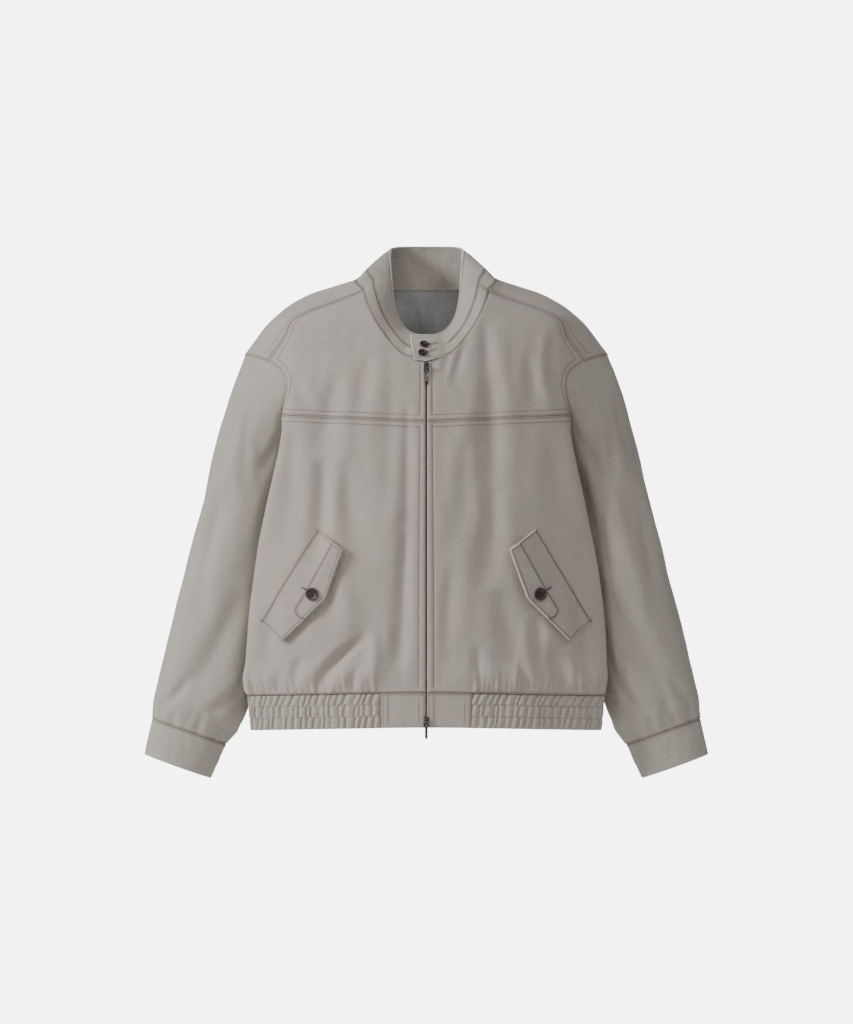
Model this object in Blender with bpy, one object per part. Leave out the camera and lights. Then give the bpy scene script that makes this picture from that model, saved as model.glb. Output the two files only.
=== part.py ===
"""A harrington jacket, filled out and hollow, as separate sewn pieces.

+Z is up, the front faces -Y and +X is the wearer's left. The origin lies inside the neck, at the
height of the shoulders. All sizes below are millimetres; meshes are written in metres.

The body is one smooth surface of horizontal sections, read by two numbers: girth, which runs
from the centre front (0) to the centre back, and height. Every seam is a line on that surface,
and every panel is the stretch between its seams, given a thickness. Sleeves, cuffs and collar
are lofted from the same seam points, so that neighbours meet edge to edge.
"""

import math
from collections import namedtuple

import bmesh
import bpy
import numpy as np
from mathutils import Matrix, Vector
from mathutils.geometry import delaunay_2d_cdt

MM = 0.001

# Cloth
SEAM_GAP = 0.34
CLOTH = 1.6
DOUBLE_CLOTH = 2.4
LINING = 1.0

# Girth along the half body: centre front, front fold, side, back fold, centre back
GIRTH_FOLD = 230.0
GIRTH_SIDE = 300.0
GIRTH_BACK_FOLD = 365.0
GIRTH_BACK = 590.0
SIDE_DEPTH = 8.0
FRONT_FLATNESS = 2.2
BACK_FLATNESS = 2.4
FOLD_ROUNDING = 9.0

Section = namedtuple("Section", "height front fold_x fold_y side_x back_x back_y back")
SECTIONS = (
    Section(-670, -92, 262, -36, 250, 246, 54, 86),
    Section(-603, -95, 269, -38, 250, 246, 56, 88),
    Section(-555, -100, 273, -40, 240, 240, 58, 92),
    Section(-500, -103, 271, -42, 231, 232, 60, 95),
    Section(-387, -106, 255, -48, 214, 218, 62, 99),
    Section(-272, -107, 229, -60, 204, 206, 64, 103),
    Section(-230, -105, 220, -64, 210, 210, 65, 103),
    Section(-190, -103, 212, -66, 222, 216, 67, 103),
    Section(-143, -98, 203, -65, 246, 222, 70, 101),
    Section(-108, -92, 199, -62, 276, 222, 72, 98),
    Section(-75, -86, 199, -57, 259, 210, 72, 93),
    Section(-40, -78, 190, -46, 229, 184, 70, 88),
    Section(-16, -69, 131, -31, 196, 150, 65, 83),
    Section(-4, -62, 102, -24, 171, 126, 60, 79),
    Section(8, -54, 82, -26, 133, 96, 56, 75),
    Section(22, -44, 66, -30, 90, 70, 50, 70),
    Section(36, -36, 52, -28, 62, 48, 44, 64),
)

# Seams; the front of the neck goes by x, the back of it by girth
SeamPoint = namedtuple("SeamPoint", "x height")
NECK_FRONT = (SeamPoint(0, -106.5), SeamPoint(36, -97), SeamPoint(57, -75), SeamPoint(70, -57),
              SeamPoint(81, -37.5), SeamPoint(90, -16), SeamPoint(94.2, -1))
NeckPoint = namedtuple("NeckPoint", "girth height")
NECK_BACK = (NeckPoint(264, 11), NeckPoint(300, 18), NeckPoint(335, 16.5), NeckPoint(370, 13),
             NeckPoint(430, 8), NeckPoint(500, 5), NeckPoint(590, 4))
NECK_FRONT_STEPS = 12
NECK_BACK_STEPS = 10
CENTRE_GAP = 1.2
PLACKET_GIRTH = 14.0
YOKE_CENTRE_HEIGHT = -198.0
YOKE_STEPS = 10
SHOULDER_KINK_HEIGHT = -40.0
SHOULDER_STEPS = 4
ArmholePoint = namedtuple("ArmholePoint", "depth height")
ARMHOLE_SIDE = (
    ArmholePoint(8, -98), ArmholePoint(-14, -100), ArmholePoint(-33, -108),
    ArmholePoint(-48, -122), ArmholePoint(-56, -142), ArmholePoint(-54, -165),
    ArmholePoint(-44, -188), ArmholePoint(-33, -212), ArmholePoint(-21, -238),
    ArmholePoint(-8, -261), ArmholePoint(8, -272), ArmholePoint(24, -264),
    ArmholePoint(39, -243), ArmholePoint(50, -218), ArmholePoint(57, -192),
    ArmholePoint(59, -168), ArmholePoint(57, -145), ArmholePoint(50, -124),
    ArmholePoint(39, -109), ArmholePoint(25, -101),
)
AROUND_SLEEVE = len(ARMHOLE_SIDE)
SHOULDER_END = 2
YOKE_END = 6
UNDERARM = 10
HEM_CENTRE_HEIGHT = -602.0
HEM_DROP = 6.0
BAND_HEIGHT = 52.0
EDGE_STEP = 28.0

# Mesh spacing on the panels
FRONT_SPACING = 25.0
BACK_SPACING = 31.0
LINING_SPACING = 40.0
KEEP_FROM_EDGE = 0.5
KEEP_FROM_POINT = 0.45
LINING_EASE = 5.0
LINING_NECK_EASE = 2.0
LINING_EASE_DROP = 50.0

# Elastic: ribs stand in three rows between stitched lines, and the cloth above is gathered
PLAIN_BAND_GIRTH = 58.0
RIBS_PER_SIDE = 56
RIB_HEIGHT = 1.9
RIB_ROWS = (0.16, 0.5, 0.84)
RIB_LINES = (0.0, 0.33, 0.67, 1.0)
RIB_CREST = 0.25
RIB_FADE = 0.1
GATHER_HEIGHT = 2.2
GATHER_RISE = 13.0

# Largest soft folds, as troughs in the cloth; x is positive on the wearer's left
Trough = namedtuple("Trough", "back x0 height0 x1 height1 width depth")
TROUGHS = (
    Trough(False, -141, -125, -165, -250, 26, 5.0),
    Trough(False, -156, -260, -178, -395, 24, 4.5),
    Trough(False, -50, -130, -48, -330, 20, 5.0),
    Trough(False, -38, -340, -52, -560, 20, 5.0),
    Trough(False, -80, -505, -158, -592, 17, 9.0),
    Trough(False, 100, -130, 98, -440, 24, 4.5),
    Trough(False, 104, -450, 148, -560, 22, 5.0),
    Trough(False, 190, -520, 212, -590, 15, 5.0),
    Trough(True, 150, -180, 110, -420, 26, 6.0),
    Trough(True, -165, -190, -95, -390, 26, 6.0),
    Trough(True, 60, -470, 88, -585, 20, 5.5),
    Trough(True, -40, -450, -70, -580, 20, 5.0),
    Trough(True, -190, -440, -160, -575, 20, 5.5),
)

# Sleeves: each ring runs from an outer end to an inner end, between a front and a back depth
Ring = namedtuple("Ring", "out_x out_height in_x in_height front back")
SLEEVE_RINGS = (
    Ring(286, -134, 213, -287, -40, 62),
    Ring(303, -192, 219, -312, -40, 67),
    Ring(321, -256, 225, -344, -41, 73),
    Ring(339, -328, 233, -391, -41, 78),
    Ring(357, -400, 241, -449, -40, 79),
    Ring(375, -471, 252, -514, -37, 77),
    Ring(392, -540, 262, -583, -32, 73),
    Ring(401, -577, 268, -622, -28, 68),
    Ring(408, -610, 281, -655, -22, 62),
    Ring(412, -643, 300, -682, -14, 54),
    Ring(418, -670, 312, -708, -13, 53),
    Ring(424, -697, 324, -733, -12, 52),
)
ARMHOLE_GAP = 0.45
SLEEVE_END = 10
SLEEVE_STEPS = 15
CUFF_STEPS = 2
SleeveTrough = namedtuple("SleeveTrough", "ring0 around0 ring1 around1 width depth")
SLEEVE_TROUGHS = (
    SleeveTrough(0.6, 60, 3.2, 20, 20, 5.0),
    SleeveTrough(3.0, 75, 5.6, 35, 20, 5.0),
    SleeveTrough(5.2, 120, 9.0, 55, 18, 6.0),
    SleeveTrough(1.2, 300, 4.5, 345, 20, 5.0),
    SleeveTrough(4.8, 250, 8.6, 305, 20, 6.0),
)

# Collar: top edge by its share of the way round from centre front to centre back
TopEdge = namedtuple("TopEdge", "share x depth height")
COLLAR_TOP = (
    TopEdge(0.0, 0, -65, -68), TopEdge(0.08, 14, -63, -67.5), TopEdge(0.17, 29, -56, -60),
    TopEdge(0.26, 41, -44, -43), TopEdge(0.35, 47.5, -26, -18), TopEdge(0.44, 50.5, -3, 12),
    TopEdge(0.53, 52.5, 18, 40), TopEdge(0.63, 54, 38, 61), TopEdge(0.75, 45, 52, 67),
    TopEdge(0.87, 25, 59, 68), TopEdge(1.0, 0, 61, 68),
)
COLLAR_END_GAP = 0.3
BAND_SHARE = 0.36
COLLAR_BULGE = 4.0
COLLAR_STEPS = 3

# Collar tab: x of its ends at the low and high edge, and how far up the collar it reaches
TAB_RIGHT_X = (-18.0, -24.5)
TAB_LEFT_X = (18.6, 29.0)
TAB_LOW = (-0.1, 0.0)
TAB_HIGH = 0.9
TAB_COLUMNS = 8
TAB_ROWS = 6
TAB_THICKNESS = 2.2
TAB_EASE = 0.6

# Pocket flaps, as corners seen from the front, on the wearer's left; the first edge is sewn
FLAP = ((163, -358), (247, -497), (212, -526), (148, -462), (121, -388))
FLAP_TAB = ((138.5, -383), (124, -391), (150.5, -459), (175, -486), (192, -484), (195, -471))
FLAP_SPACING = 26.0
FLAP_THICKNESS = 2.2
FLAP_TAB_THICKNESS = 1.4
FLAP_EASE = 1.1

# Buttons
Button = namedtuple("Button", "radius thickness rim")
POCKET_BUTTON = Button(9.6, 3.2, 2.0)
COLLAR_BUTTON = Button(6.8, 2.8, 1.5)
POCKET_BUTTON_PLACE = (167.0, -455.0)
COLLAR_BUTTON_PLACES = (("collar_button_upper", -3.5, 0.46), ("collar_button_lower", -5.7, 0.15))
BUTTON_SIDES = 14
POCKET_BUTTON_EASE = 0.35
COLLAR_BUTTON_EASE = 0.9

# Zip
TAPE_WIDTH = 14.0
TAPE = 1.0
CHAIN_WIDTH = 3.0
CHAIN = 2.5
ZIP_TOP_HEIGHT = -110.5
ZIP_BOTTOM_HEIGHT = -650.0
ZIP_ROWS = 18
SLIDER_WIDTH = 7.0
SLIDER_LENGTH = 14.0
SLIDER_PLATE = 1.7
WEB_WIDTH = 1.5
SLIDER_LIFT = 0.5
LUG_WIDTH = 1.5
LUG_INNER = 1.45
PIN_RADIUS = 0.75
PIN_RISE = 2.7
EYE_HOLE = 1.15
EYE_RADIUS = 2.05
EYE_WIDTH = 2.2
PULL_LENGTH = 26.0
PULL_WIDTH = 4.4
PULL_THICKNESS = 1.5
TOP_SLIDER_HEIGHT = -118.5
BOTTOM_SLIDER_HEIGHT = -644.0


# Smooth curves through table rows

def smooth_at(keys, values, at):
    """Cubic curve through rows of values, read at any keys."""
    keys = np.asarray(keys, float)
    values = np.asarray(values, float)
    at = np.atleast_1d(np.asarray(at, float))
    slope = np.gradient(values, keys, axis=0)
    low = np.clip(np.searchsorted(keys, at) - 1, 0, len(keys) - 2)
    step = (keys[low + 1] - keys[low])[:, None]
    t = ((at - keys[low])[:, None]) / step
    from_low = (1 + 2 * t) * (1 - t) ** 2 * values[low] + t * (1 - t) ** 2 * step * slope[low]
    from_high = t * t * (3 - 2 * t) * values[low + 1] + t * t * (t - 1) * step * slope[low + 1]
    return from_low + from_high


def smooth_path(points, steps):
    """Evenly spaced points on a smooth curve through control points."""
    points = np.asarray(points, float)
    chord = np.concatenate(([0], np.cumsum(np.linalg.norm(np.diff(points, axis=0), axis=1))))
    return smooth_at(chord, points, np.linspace(0, chord[-1], steps + 1))


def unit(vectors):
    return vectors / np.linalg.norm(vectors, axis=-1, keepdims=True)


# The body surface

SECTION_HEIGHTS = np.array([row.height for row in SECTIONS], float)
SECTION_SHAPES = np.array([row[1:] for row in SECTIONS], float)


def body_corner(girth, height):
    """Points of the section curves, with a corner left at each fold."""
    side_sign = np.where((girth < 0) | (girth > GIRTH_BACK), -1.0, 1.0)
    g = np.abs(girth)
    g = np.where(g > GIRTH_BACK, 2 * GIRTH_BACK - g, g)
    front, fold_x, fold_y, side_x, back_x, back_y, back = smooth_at(
        SECTION_HEIGHTS, SECTION_SHAPES, height).T
    t = g / GIRTH_FOLD
    front_x = fold_x * t
    front_y = front + (fold_y - front) * t ** FRONT_FLATNESS
    t = np.clip((GIRTH_BACK - g) / (GIRTH_BACK - GIRTH_BACK_FOLD), 0, None)
    rear_x = back_x * t
    rear_y = back + (back_y - back) * t ** BACK_FLATNESS
    before = g < GIRTH_SIDE
    t = np.where(before, (g - GIRTH_FOLD) / (GIRTH_SIDE - GIRTH_FOLD),
                 (g - GIRTH_SIDE) / (GIRTH_BACK_FOLD - GIRTH_SIDE))
    side_point = []
    for fold, side, rear in ((fold_x, side_x, back_x), (fold_y, SIDE_DEPTH, back_y)):
        start = np.where(before, fold, side)
        end = np.where(before, side, rear)
        middle = (rear - fold) / 2
        start_slope = np.where(before, side - fold, middle)
        end_slope = np.where(before, middle, rear - side)
        side_point.append((1 + 2 * t) * (1 - t) ** 2 * start + t * (1 - t) ** 2 * start_slope
                          + t * t * (3 - 2 * t) * end + t * t * (t - 1) * end_slope)
    in_front = g <= GIRTH_FOLD
    in_back = g >= GIRTH_BACK_FOLD
    x = np.where(in_front, front_x, np.where(in_back, rear_x, side_point[0]))
    y = np.where(in_front, front_y, np.where(in_back, rear_y, side_point[1]))
    return np.stack((x * side_sign, y, height), axis=-1)


def body_smooth(girth, height):
    """The body surface, with its folds rounded and no creases."""
    girth = np.atleast_1d(np.asarray(girth, float))
    height = np.atleast_1d(np.asarray(height, float)) + 0 * girth
    ahead = body_corner(girth + FOLD_ROUNDING, height)
    behind = body_corner(girth - FOLD_ROUNDING, height)
    return (ahead + 2 * body_corner(girth, height) + behind) / 4


def body_normal(girth, height):
    """Outward directions of the body surface."""
    girth = np.atleast_1d(np.asarray(girth, float))
    height = np.atleast_1d(np.asarray(height, float)) + 0 * girth
    along = body_smooth(girth + 2, height) - body_smooth(girth - 2, height)
    upward = body_smooth(girth, height + 2) - body_smooth(girth, height - 2)
    return unit(np.cross(along, upward))


def solve_girth(height, value, axis, low, high):
    """Girths between low and high where the section's x or y has the given value."""
    height = np.atleast_1d(np.asarray(height, float))
    low = np.full(height.shape, float(low))
    high = np.full(height.shape, float(high))
    rising = body_smooth(high, height)[:, axis] > body_smooth(low, height)[:, axis]
    for _ in range(40):
        middle = (low + high) / 2
        above = body_smooth(middle, height)[:, axis] > value
        go_low = above == rising
        high = np.where(go_low, middle, high)
        low = np.where(go_low, low, middle)
    return (low + high) / 2


def trough_drop(distance, share, width, depth):
    """Depth of a soft trough by distance from its line and share of its length."""
    ends = np.sin(np.pi * np.clip(share, 0, 1)) ** 0.7
    return depth * ends * np.exp(-(distance / width) ** 2)


def line_distance(u, v, start, end):
    """Distance of points from a line, and their share of its length."""
    run = np.subtract(end, start)
    length = math.hypot(*run)
    share = ((u - start[0]) * run[0] + (v - start[1]) * run[1]) / length ** 2
    distance = np.abs((u - start[0]) * run[1] - (v - start[1]) * run[0]) / length
    return distance, share


def trough_lines():
    """Each body trough as a line in girth and height."""
    lines = []
    for row in TROUGHS:
        ends = []
        for x, height in ((row.x0, row.height0), (row.x1, row.height1)):
            limits = (GIRTH_BACK, GIRTH_BACK_FOLD) if row.back else (0, GIRTH_FOLD)
            girth = solve_girth(height, abs(x), 0, *limits)[0]
            ends.append((math.copysign(girth, x), height))
        lines.append((ends[0], ends[1], row.width, row.depth))
    return lines


TROUGH_LINES = trough_lines()


def body_relief(girth, height):
    """Height of the cloth over the smooth surface, from the soft troughs."""
    turn = np.mod(np.asarray(girth) + GIRTH_BACK, 2 * GIRTH_BACK) - GIRTH_BACK
    relief = np.zeros(np.shape(turn))
    for start, end, width, depth in TROUGH_LINES:
        distance, share = line_distance(turn, height, start, end)
        relief = relief - trough_drop(distance, share, width, depth)
    from_centre = np.clip((np.abs(turn) - PLACKET_GIRTH) / PLACKET_GIRTH, 0, 1)
    return relief * from_centre


def body_points(girth, height, lift=0.0):
    """Points of the cloth's outer face, moved out by lift."""
    girth = np.atleast_1d(np.asarray(girth, float))
    height = np.atleast_1d(np.asarray(height, float)) + 0 * girth
    move = body_relief(girth, height) + lift
    return body_smooth(girth, height) + body_normal(girth, height) * np.reshape(move, (-1, 1))


# Distance down the shoulder ridge, which spaces the meshes evenly over the shoulder

RISE_HEIGHTS = np.linspace(30, -680, 356)
RIDGE_X = smooth_at(SECTION_HEIGHTS, SECTION_SHAPES, RISE_HEIGHTS)[:, 3]
RIDGE_STEPS = np.where(RISE_HEIGHTS[1:] > -98, np.hypot(np.diff(RIDGE_X), 2.0), 2.0)
RISE_LEVELS = -np.concatenate(([0], np.cumsum(RIDGE_STEPS)))


def rise_of(height):
    return np.interp(-np.asarray(height, float), -RISE_HEIGHTS, RISE_LEVELS)


def height_of(rise):
    return np.interp(-np.asarray(rise, float), -RISE_LEVELS, RISE_HEIGHTS)


# Seam lines, each a list of (girth, height)

def pairs(girth, height):
    girth, height = np.broadcast_arrays(np.atleast_1d(girth), np.atleast_1d(height))
    return np.stack((girth, height), axis=1).astype(float)


def neck_front_line():
    path = smooth_path(NECK_FRONT, NECK_FRONT_STEPS)
    path[0, 0] = CENTRE_GAP
    return pairs(solve_girth(path[:, 1], path[:, 0], 0, 0, GIRTH_SIDE), path[:, 1])


def neck_back_line():
    """Neck seam from the shoulder seam over the ridge to the centre back."""
    points = np.concatenate((NECK_FRONT_LINE[-1:], np.array(NECK_BACK, float)))
    path = smooth_path(points, NECK_BACK_STEPS)
    path[-1, 0] = GIRTH_BACK
    return path


def armhole_line():
    """Closed armhole seam from the shoulder tip round the front; the first point is repeated."""
    side = np.array(ARMHOLE_SIDE + ARMHOLE_SIDE[:1], float)
    return pairs(solve_girth(side[:, 1], side[:, 0], 1, 0, GIRTH_BACK), side[:, 1])


def centre_girth(height, x=CENTRE_GAP):
    """Girth of a line that stays x from the centre front."""
    fold_x = smooth_at(SECTION_HEIGHTS, SECTION_SHAPES, height)[:, 1]
    return GIRTH_FOLD * x / fold_x


def half_girth(girth):
    """Girth counted from the centre front on either side."""
    girth = np.abs(girth)
    return np.where(girth > GIRTH_BACK, 2 * GIRTH_BACK - girth, girth)


def hem_height(girth):
    return HEM_CENTRE_HEIGHT - HEM_DROP * np.sin(np.pi * girth / GIRTH_BACK) ** 2


def levels(start, end, step=EDGE_STEP):
    """Heights from start to end in even steps."""
    return np.linspace(start, end, max(2, round(abs(end - start) / step) + 1))


NECK_FRONT_LINE = neck_front_line()
NECK_BACK_LINE = neck_back_line()
ARMHOLE = armhole_line()
SHOULDER_POINT = ARMHOLE[SHOULDER_END]
KINK = np.array((GIRTH_FOLD, SHOULDER_KINK_HEIGHT))
SHOULDER_LINE = np.concatenate((
    np.linspace(NECK_FRONT_LINE[-1], KINK, SHOULDER_STEPS + 1),
    np.linspace(KINK, SHOULDER_POINT, SHOULDER_STEPS + 1)[1:]))
YOKE_START = np.array((centre_girth(YOKE_CENTRE_HEIGHT)[0], YOKE_CENTRE_HEIGHT))
YOKE_LINE = np.linspace(YOKE_START, ARMHOLE[YOKE_END], YOKE_STEPS + 1)
CENTRE_TOP = NECK_FRONT_LINE[0, 1]
HEM_START = centre_girth(HEM_CENTRE_HEIGHT)[0]
PLAIN_GIRTHS = np.linspace(HEM_START, PLAIN_BAND_GIRTH, 4)
RIB_GIRTHS = np.linspace(PLAIN_BAND_GIRTH, GIRTH_BACK, RIBS_PER_SIDE + 1)
SIDE_RIB = int(np.argmin(np.abs(RIB_GIRTHS - GIRTH_SIDE)))
RIB_GIRTHS[SIDE_RIB] = GIRTH_SIDE
HEM_GIRTHS = np.concatenate((PLAIN_GIRTHS[:-1], RIB_GIRTHS))
HEM_LINE = pairs(HEM_GIRTHS, hem_height(HEM_GIRTHS))
HEM_SIDE = len(PLAIN_GIRTHS) - 1 + SIDE_RIB
SIDE_LINE = pairs(GIRTH_SIDE, levels(HEM_LINE[HEM_SIDE, 1], ARMHOLE[UNDERARM, 1]))
SIDE_LINE[-1] = ARMHOLE[UNDERARM]


def centre_line(top, bottom):
    heights = levels(top, bottom)
    return pairs(centre_girth(heights), heights)


def far_side(line):
    """The same seam on the wearer's right, counted on past the centre back."""
    return np.stack((2 * GIRTH_BACK - line[:, 0], line[:, 1]), axis=1)


def outline(*lines):
    """Join seam lines end to end into one closed outline."""
    return np.concatenate([line[:-1] for line in lines])


# Meshes

def make_object(name, points, faces, material, smooth_angle=35):
    """Write points (mm) and faces as an object (m)."""
    mesh = bpy.data.meshes.new(name)
    mesh.from_pydata([tuple(point * MM) for point in np.asarray(points, float)], [], faces)
    mesh.shade_smooth()
    mesh.set_sharp_from_angle(angle=math.radians(smooth_angle))
    mesh.materials.append(material)
    made = bpy.data.objects.new(name, mesh)
    bpy.context.scene.collection.objects.link(made)
    return made


def inset(line, distance):
    """Move a closed, anticlockwise outline inwards."""
    ahead = unit(np.roll(line, -1, axis=0) - line)
    behind = unit(line - np.roll(line, 1, axis=0))
    across = unit(ahead + behind)
    inward = np.stack((-across[:, 1], across[:, 0]), axis=1)
    spread = np.maximum(0.5, np.abs((ahead * across).sum(axis=1)))
    return line + inward * (distance / spread)[:, None]


def inside(points, line):
    """Which points lie inside a closed outline."""
    start = line[None]
    end = np.roll(line, -1, axis=0)[None]
    x, y = points[:, 0:1], points[:, 1:2]
    crosses = (start[..., 1] > y) != (end[..., 1] > y)
    run = np.where(crosses, end[..., 1] - start[..., 1], 1)
    meet = start[..., 0] + (y - start[..., 1]) / run * (end[..., 0] - start[..., 0])
    return (crosses & (x < meet)).sum(axis=1) % 2 == 1


def edge_distance(points, line):
    """Shortest distance from each point to a closed outline."""
    start = line[None]
    run = np.roll(line, -1, axis=0)[None] - start
    offset = points[:, None] - start
    share = np.clip((offset * run).sum(-1) / (run ** 2).sum(-1), 0, 1)
    return np.linalg.norm(offset - share[..., None] * run, axis=-1).min(axis=1)


def lattice(line, spacing):
    """Points in even rows inside an outline, clear of its edge."""
    low, high = line.min(axis=0), line.max(axis=0)
    rows = np.arange(low[1] + spacing / 2, high[1], spacing)
    columns = np.arange(low[0] + spacing / 2, high[0], spacing)
    grid = np.array([(column, row) for row in rows for column in columns])
    grid = grid[inside(grid, line)]
    return grid[edge_distance(grid, line) > spacing * KEEP_FROM_EDGE]


def triangulate(line, extra):
    """Triangles over an outline and the points inside it; outline points come first."""
    points = np.concatenate((line, extra)) if len(extra) else line
    result = delaunay_2d_cdt([Vector(point) for point in points], [], [list(range(len(line)))],
                             1, 1e-5)
    source = [index[0] for index in result[3]]
    return [[source[corner] for corner in face] for face in result[2]]


def wall(name, material, line, extra, outer, inner, inner_extra=None):
    """A panel: one skin at the outer face, one at the inner face, joined round the outline."""
    outer_faces = triangulate(line, extra)
    if inner_extra is None:
        inner_extra = extra
        inner_faces = outer_faces
    else:
        inner_faces = triangulate(line, inner_extra)
    outer_flat = np.concatenate((line, extra)) if len(extra) else line
    inner_flat = np.concatenate((line, inner_extra)) if len(inner_extra) else line
    count = len(outer_flat)
    faces = [tuple(face) for face in outer_faces]
    faces += [tuple(count + corner for corner in reversed(face)) for face in inner_faces]
    for index in range(len(line)):
        following = (index + 1) % len(line)
        faces.append((index, count + index, count + following, following))
    points = np.concatenate((outer(outer_flat), inner(inner_flat)))
    return make_object(name, points, faces, material)


def panel_places(line, spacing):
    """A panel's trimmed outline and the even points inside it, in girth and rise."""
    flat = inset(np.stack((line[:, 0], rise_of(line[:, 1])), axis=1), SEAM_GAP / 2)
    return flat, lattice(flat, spacing) if spacing else np.zeros((0, 2))


def all_places(line, spacing):
    """All the points of a panel, in girth and height, for the panel beneath it."""
    flat = np.concatenate(panel_places(line, spacing))
    return np.stack((flat[:, 0], height_of(flat[:, 1])), axis=1)


def body_wall(name, material, line, spacing, thickness, lift=0.0, extra=None, relief=None,
              shift=None, inner_extra=None):
    """A panel between seam lines; relief raises its outer face, shift moves the whole wall."""
    flat, points = panel_places(line, spacing)
    if extra is not None:
        extra = np.stack((extra[:, 0], rise_of(extra[:, 1])), axis=1)
        if len(points):
            nearest = np.linalg.norm(points[:, None] - extra[None], axis=-1).min(axis=1)
            points = points[nearest > spacing * KEEP_FROM_POINT]
        points = np.concatenate((points, extra))

    def outer(places):
        height = height_of(places[:, 1])
        raised = relief(places[:, 0], height) if relief else 0.0
        moved = shift(places[:, 0], height) if shift else 0.0
        return body_points(places[:, 0], height, lift + raised + moved)

    def inner(places):
        height = height_of(places[:, 1])
        moved = shift(places[:, 0], height) if shift else 0.0
        return body_points(places[:, 0], height, lift + moved - thickness)

    return wall(name, material, flat, points, outer, inner, inner_extra)


def mirrored(source, name):
    """A copy on the wearer's right of a piece on the left."""
    mesh = source.data.copy()
    mesh.transform(Matrix.Scale(-1, 4, Vector((1, 0, 0))))
    mesh.flip_normals()
    mesh.name = name
    made = bpy.data.objects.new(name, mesh)
    bpy.context.scene.collection.objects.link(made)
    return made


def to_right(line):
    """An outline on the left, mirrored to the wearer's right and still anticlockwise."""
    return np.stack((-line[::-1, 0], line[::-1, 1]), axis=1)


def loft(name, material, outer_rows, inner_rows, closed):
    """A wall through rows of points; closed rows run all round, open rows get end faces."""
    outer = np.asarray(outer_rows)
    inner = np.asarray(inner_rows)
    rows, columns = outer.shape[:2]
    count = rows * columns
    faces = []
    last = columns if closed else columns - 1
    for row in range(rows - 1):
        for column in range(last):
            a = row * columns + column
            b = row * columns + (column + 1) % columns
            c, d = b + columns, a + columns
            faces.append((a, b, c, d))
            faces.append((count + a, count + d, count + c, count + b))
    for column in range(last):
        following = (column + 1) % columns
        faces.append((column, count + column, count + following, following))
        a = (rows - 1) * columns + column
        b = (rows - 1) * columns + following
        faces.append((a, b, count + b, count + a))
    if not closed:
        for row in range(rows - 1):
            a, d = row * columns, (row + 1) * columns
            faces.append((a, d, count + d, count + a))
            b, c = a + columns - 1, d + columns - 1
            faces.append((b, count + b, count + c, c))
    points = np.concatenate((outer.reshape(-1, 3), inner.reshape(-1, 3)))
    return make_object(name, points, faces, material)


# Materials

def finish(name, color, roughness, metallic=0.0):
    material = bpy.data.materials.new(name)
    material.use_nodes = True
    shader = material.node_tree.nodes["Principled BSDF"]
    shader.inputs["Base Color"].default_value = (*color, 1.0)
    shader.inputs["Roughness"].default_value = roughness
    shader.inputs["Metallic"].default_value = metallic
    return material


# Flap outlines

def front_line(corners, step=FLAP_SPACING):
    """An outline seen from the front, laid on the front panel as girth and height."""
    corners = np.asarray(corners, float)
    following = np.roll(corners, -1, axis=0)
    path = []
    for start, end in zip(corners, following):
        steps = max(1, round(np.linalg.norm(end - start) / step))
        path.append(np.linspace(start, end, steps + 1)[:-1])
    path = np.concatenate(path)
    return pairs(solve_girth(path[:, 1], path[:, 0], 0, 0, GIRTH_FOLD), path[:, 1])


def anticlockwise(line):
    x, y = line[:, 0], line[:, 1]
    area = (x * np.roll(y, -1) - y * np.roll(x, -1)).sum()
    return line if area > 0 else line[::-1]


FLAP_LINE = anticlockwise(front_line(FLAP))
FLAP_TAB_LINE = anticlockwise(front_line(FLAP_TAB))
FLAP_PLACES = all_places(FLAP_LINE, FLAP_SPACING)
FLAP_TAB_PLACES = all_places(FLAP_TAB_LINE, FLAP_SPACING)


# Body panels

def rib_turn(girth):
    """Place among the ribs, counted from the plain front of the waistband."""
    span = GIRTH_BACK - PLAIN_BAND_GIRTH
    return (half_girth(girth) - PLAIN_BAND_GIRTH) / span * RIBS_PER_SIDE


def gather_relief(girth, height):
    """Short gathers that stand out just above the waistband, every second rib."""
    turn = rib_turn(girth)
    wave = 0.5 - 0.5 * np.cos(np.pi * np.round(turn))
    above = np.clip(1 - (height - hem_height(girth)) / (GATHER_RISE * 2), 0, 1)
    return GATHER_HEIGHT * wave * above * (turn > 0)


def gather_points(girths):
    """Points of the gathers' crests and hollows above the hem."""
    return pairs(girths, hem_height(girths) + GATHER_RISE)


def make_fronts(cloth):
    centre = centre_line(YOKE_CENTRE_HEIGHT, HEM_CENTRE_HEIGHT)
    armhole = ARMHOLE[YOKE_END:UNDERARM + 1][::-1]
    hem = HEM_LINE[:HEM_SIDE + 1]
    hem[0] = centre[-1]
    edge = outline(centre, hem, SIDE_LINE, armhole, YOKE_LINE[::-1])
    gathers = gather_points(HEM_GIRTHS[len(PLAIN_GIRTHS):HEM_SIDE - 1])
    placket = pairs(PLACKET_GIRTH + 1, centre[1:-1, 1])
    extra = np.concatenate((placket, gathers, FLAP_PLACES, FLAP_TAB_PLACES))
    body_wall("front_left", cloth, edge, FRONT_SPACING, CLOTH, extra=extra, relief=gather_relief)
    body_wall("front_right", cloth, to_right(edge), FRONT_SPACING, CLOTH, extra=to_right(extra),
              relief=gather_relief)


def make_yokes(cloth):
    centre = centre_line(CENTRE_TOP, YOKE_CENTRE_HEIGHT)
    armhole = ARMHOLE[SHOULDER_END:YOKE_END + 1][::-1]
    edge = outline(centre, YOKE_LINE, armhole, SHOULDER_LINE[::-1], NECK_FRONT_LINE[::-1])
    placket = pairs(PLACKET_GIRTH + 1, centre[1:-1, 1])
    body_wall("yoke_left", cloth, edge, FRONT_SPACING, CLOTH, extra=placket)
    body_wall("yoke_right", cloth, to_right(edge), FRONT_SPACING, CLOTH, extra=to_right(placket))


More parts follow.
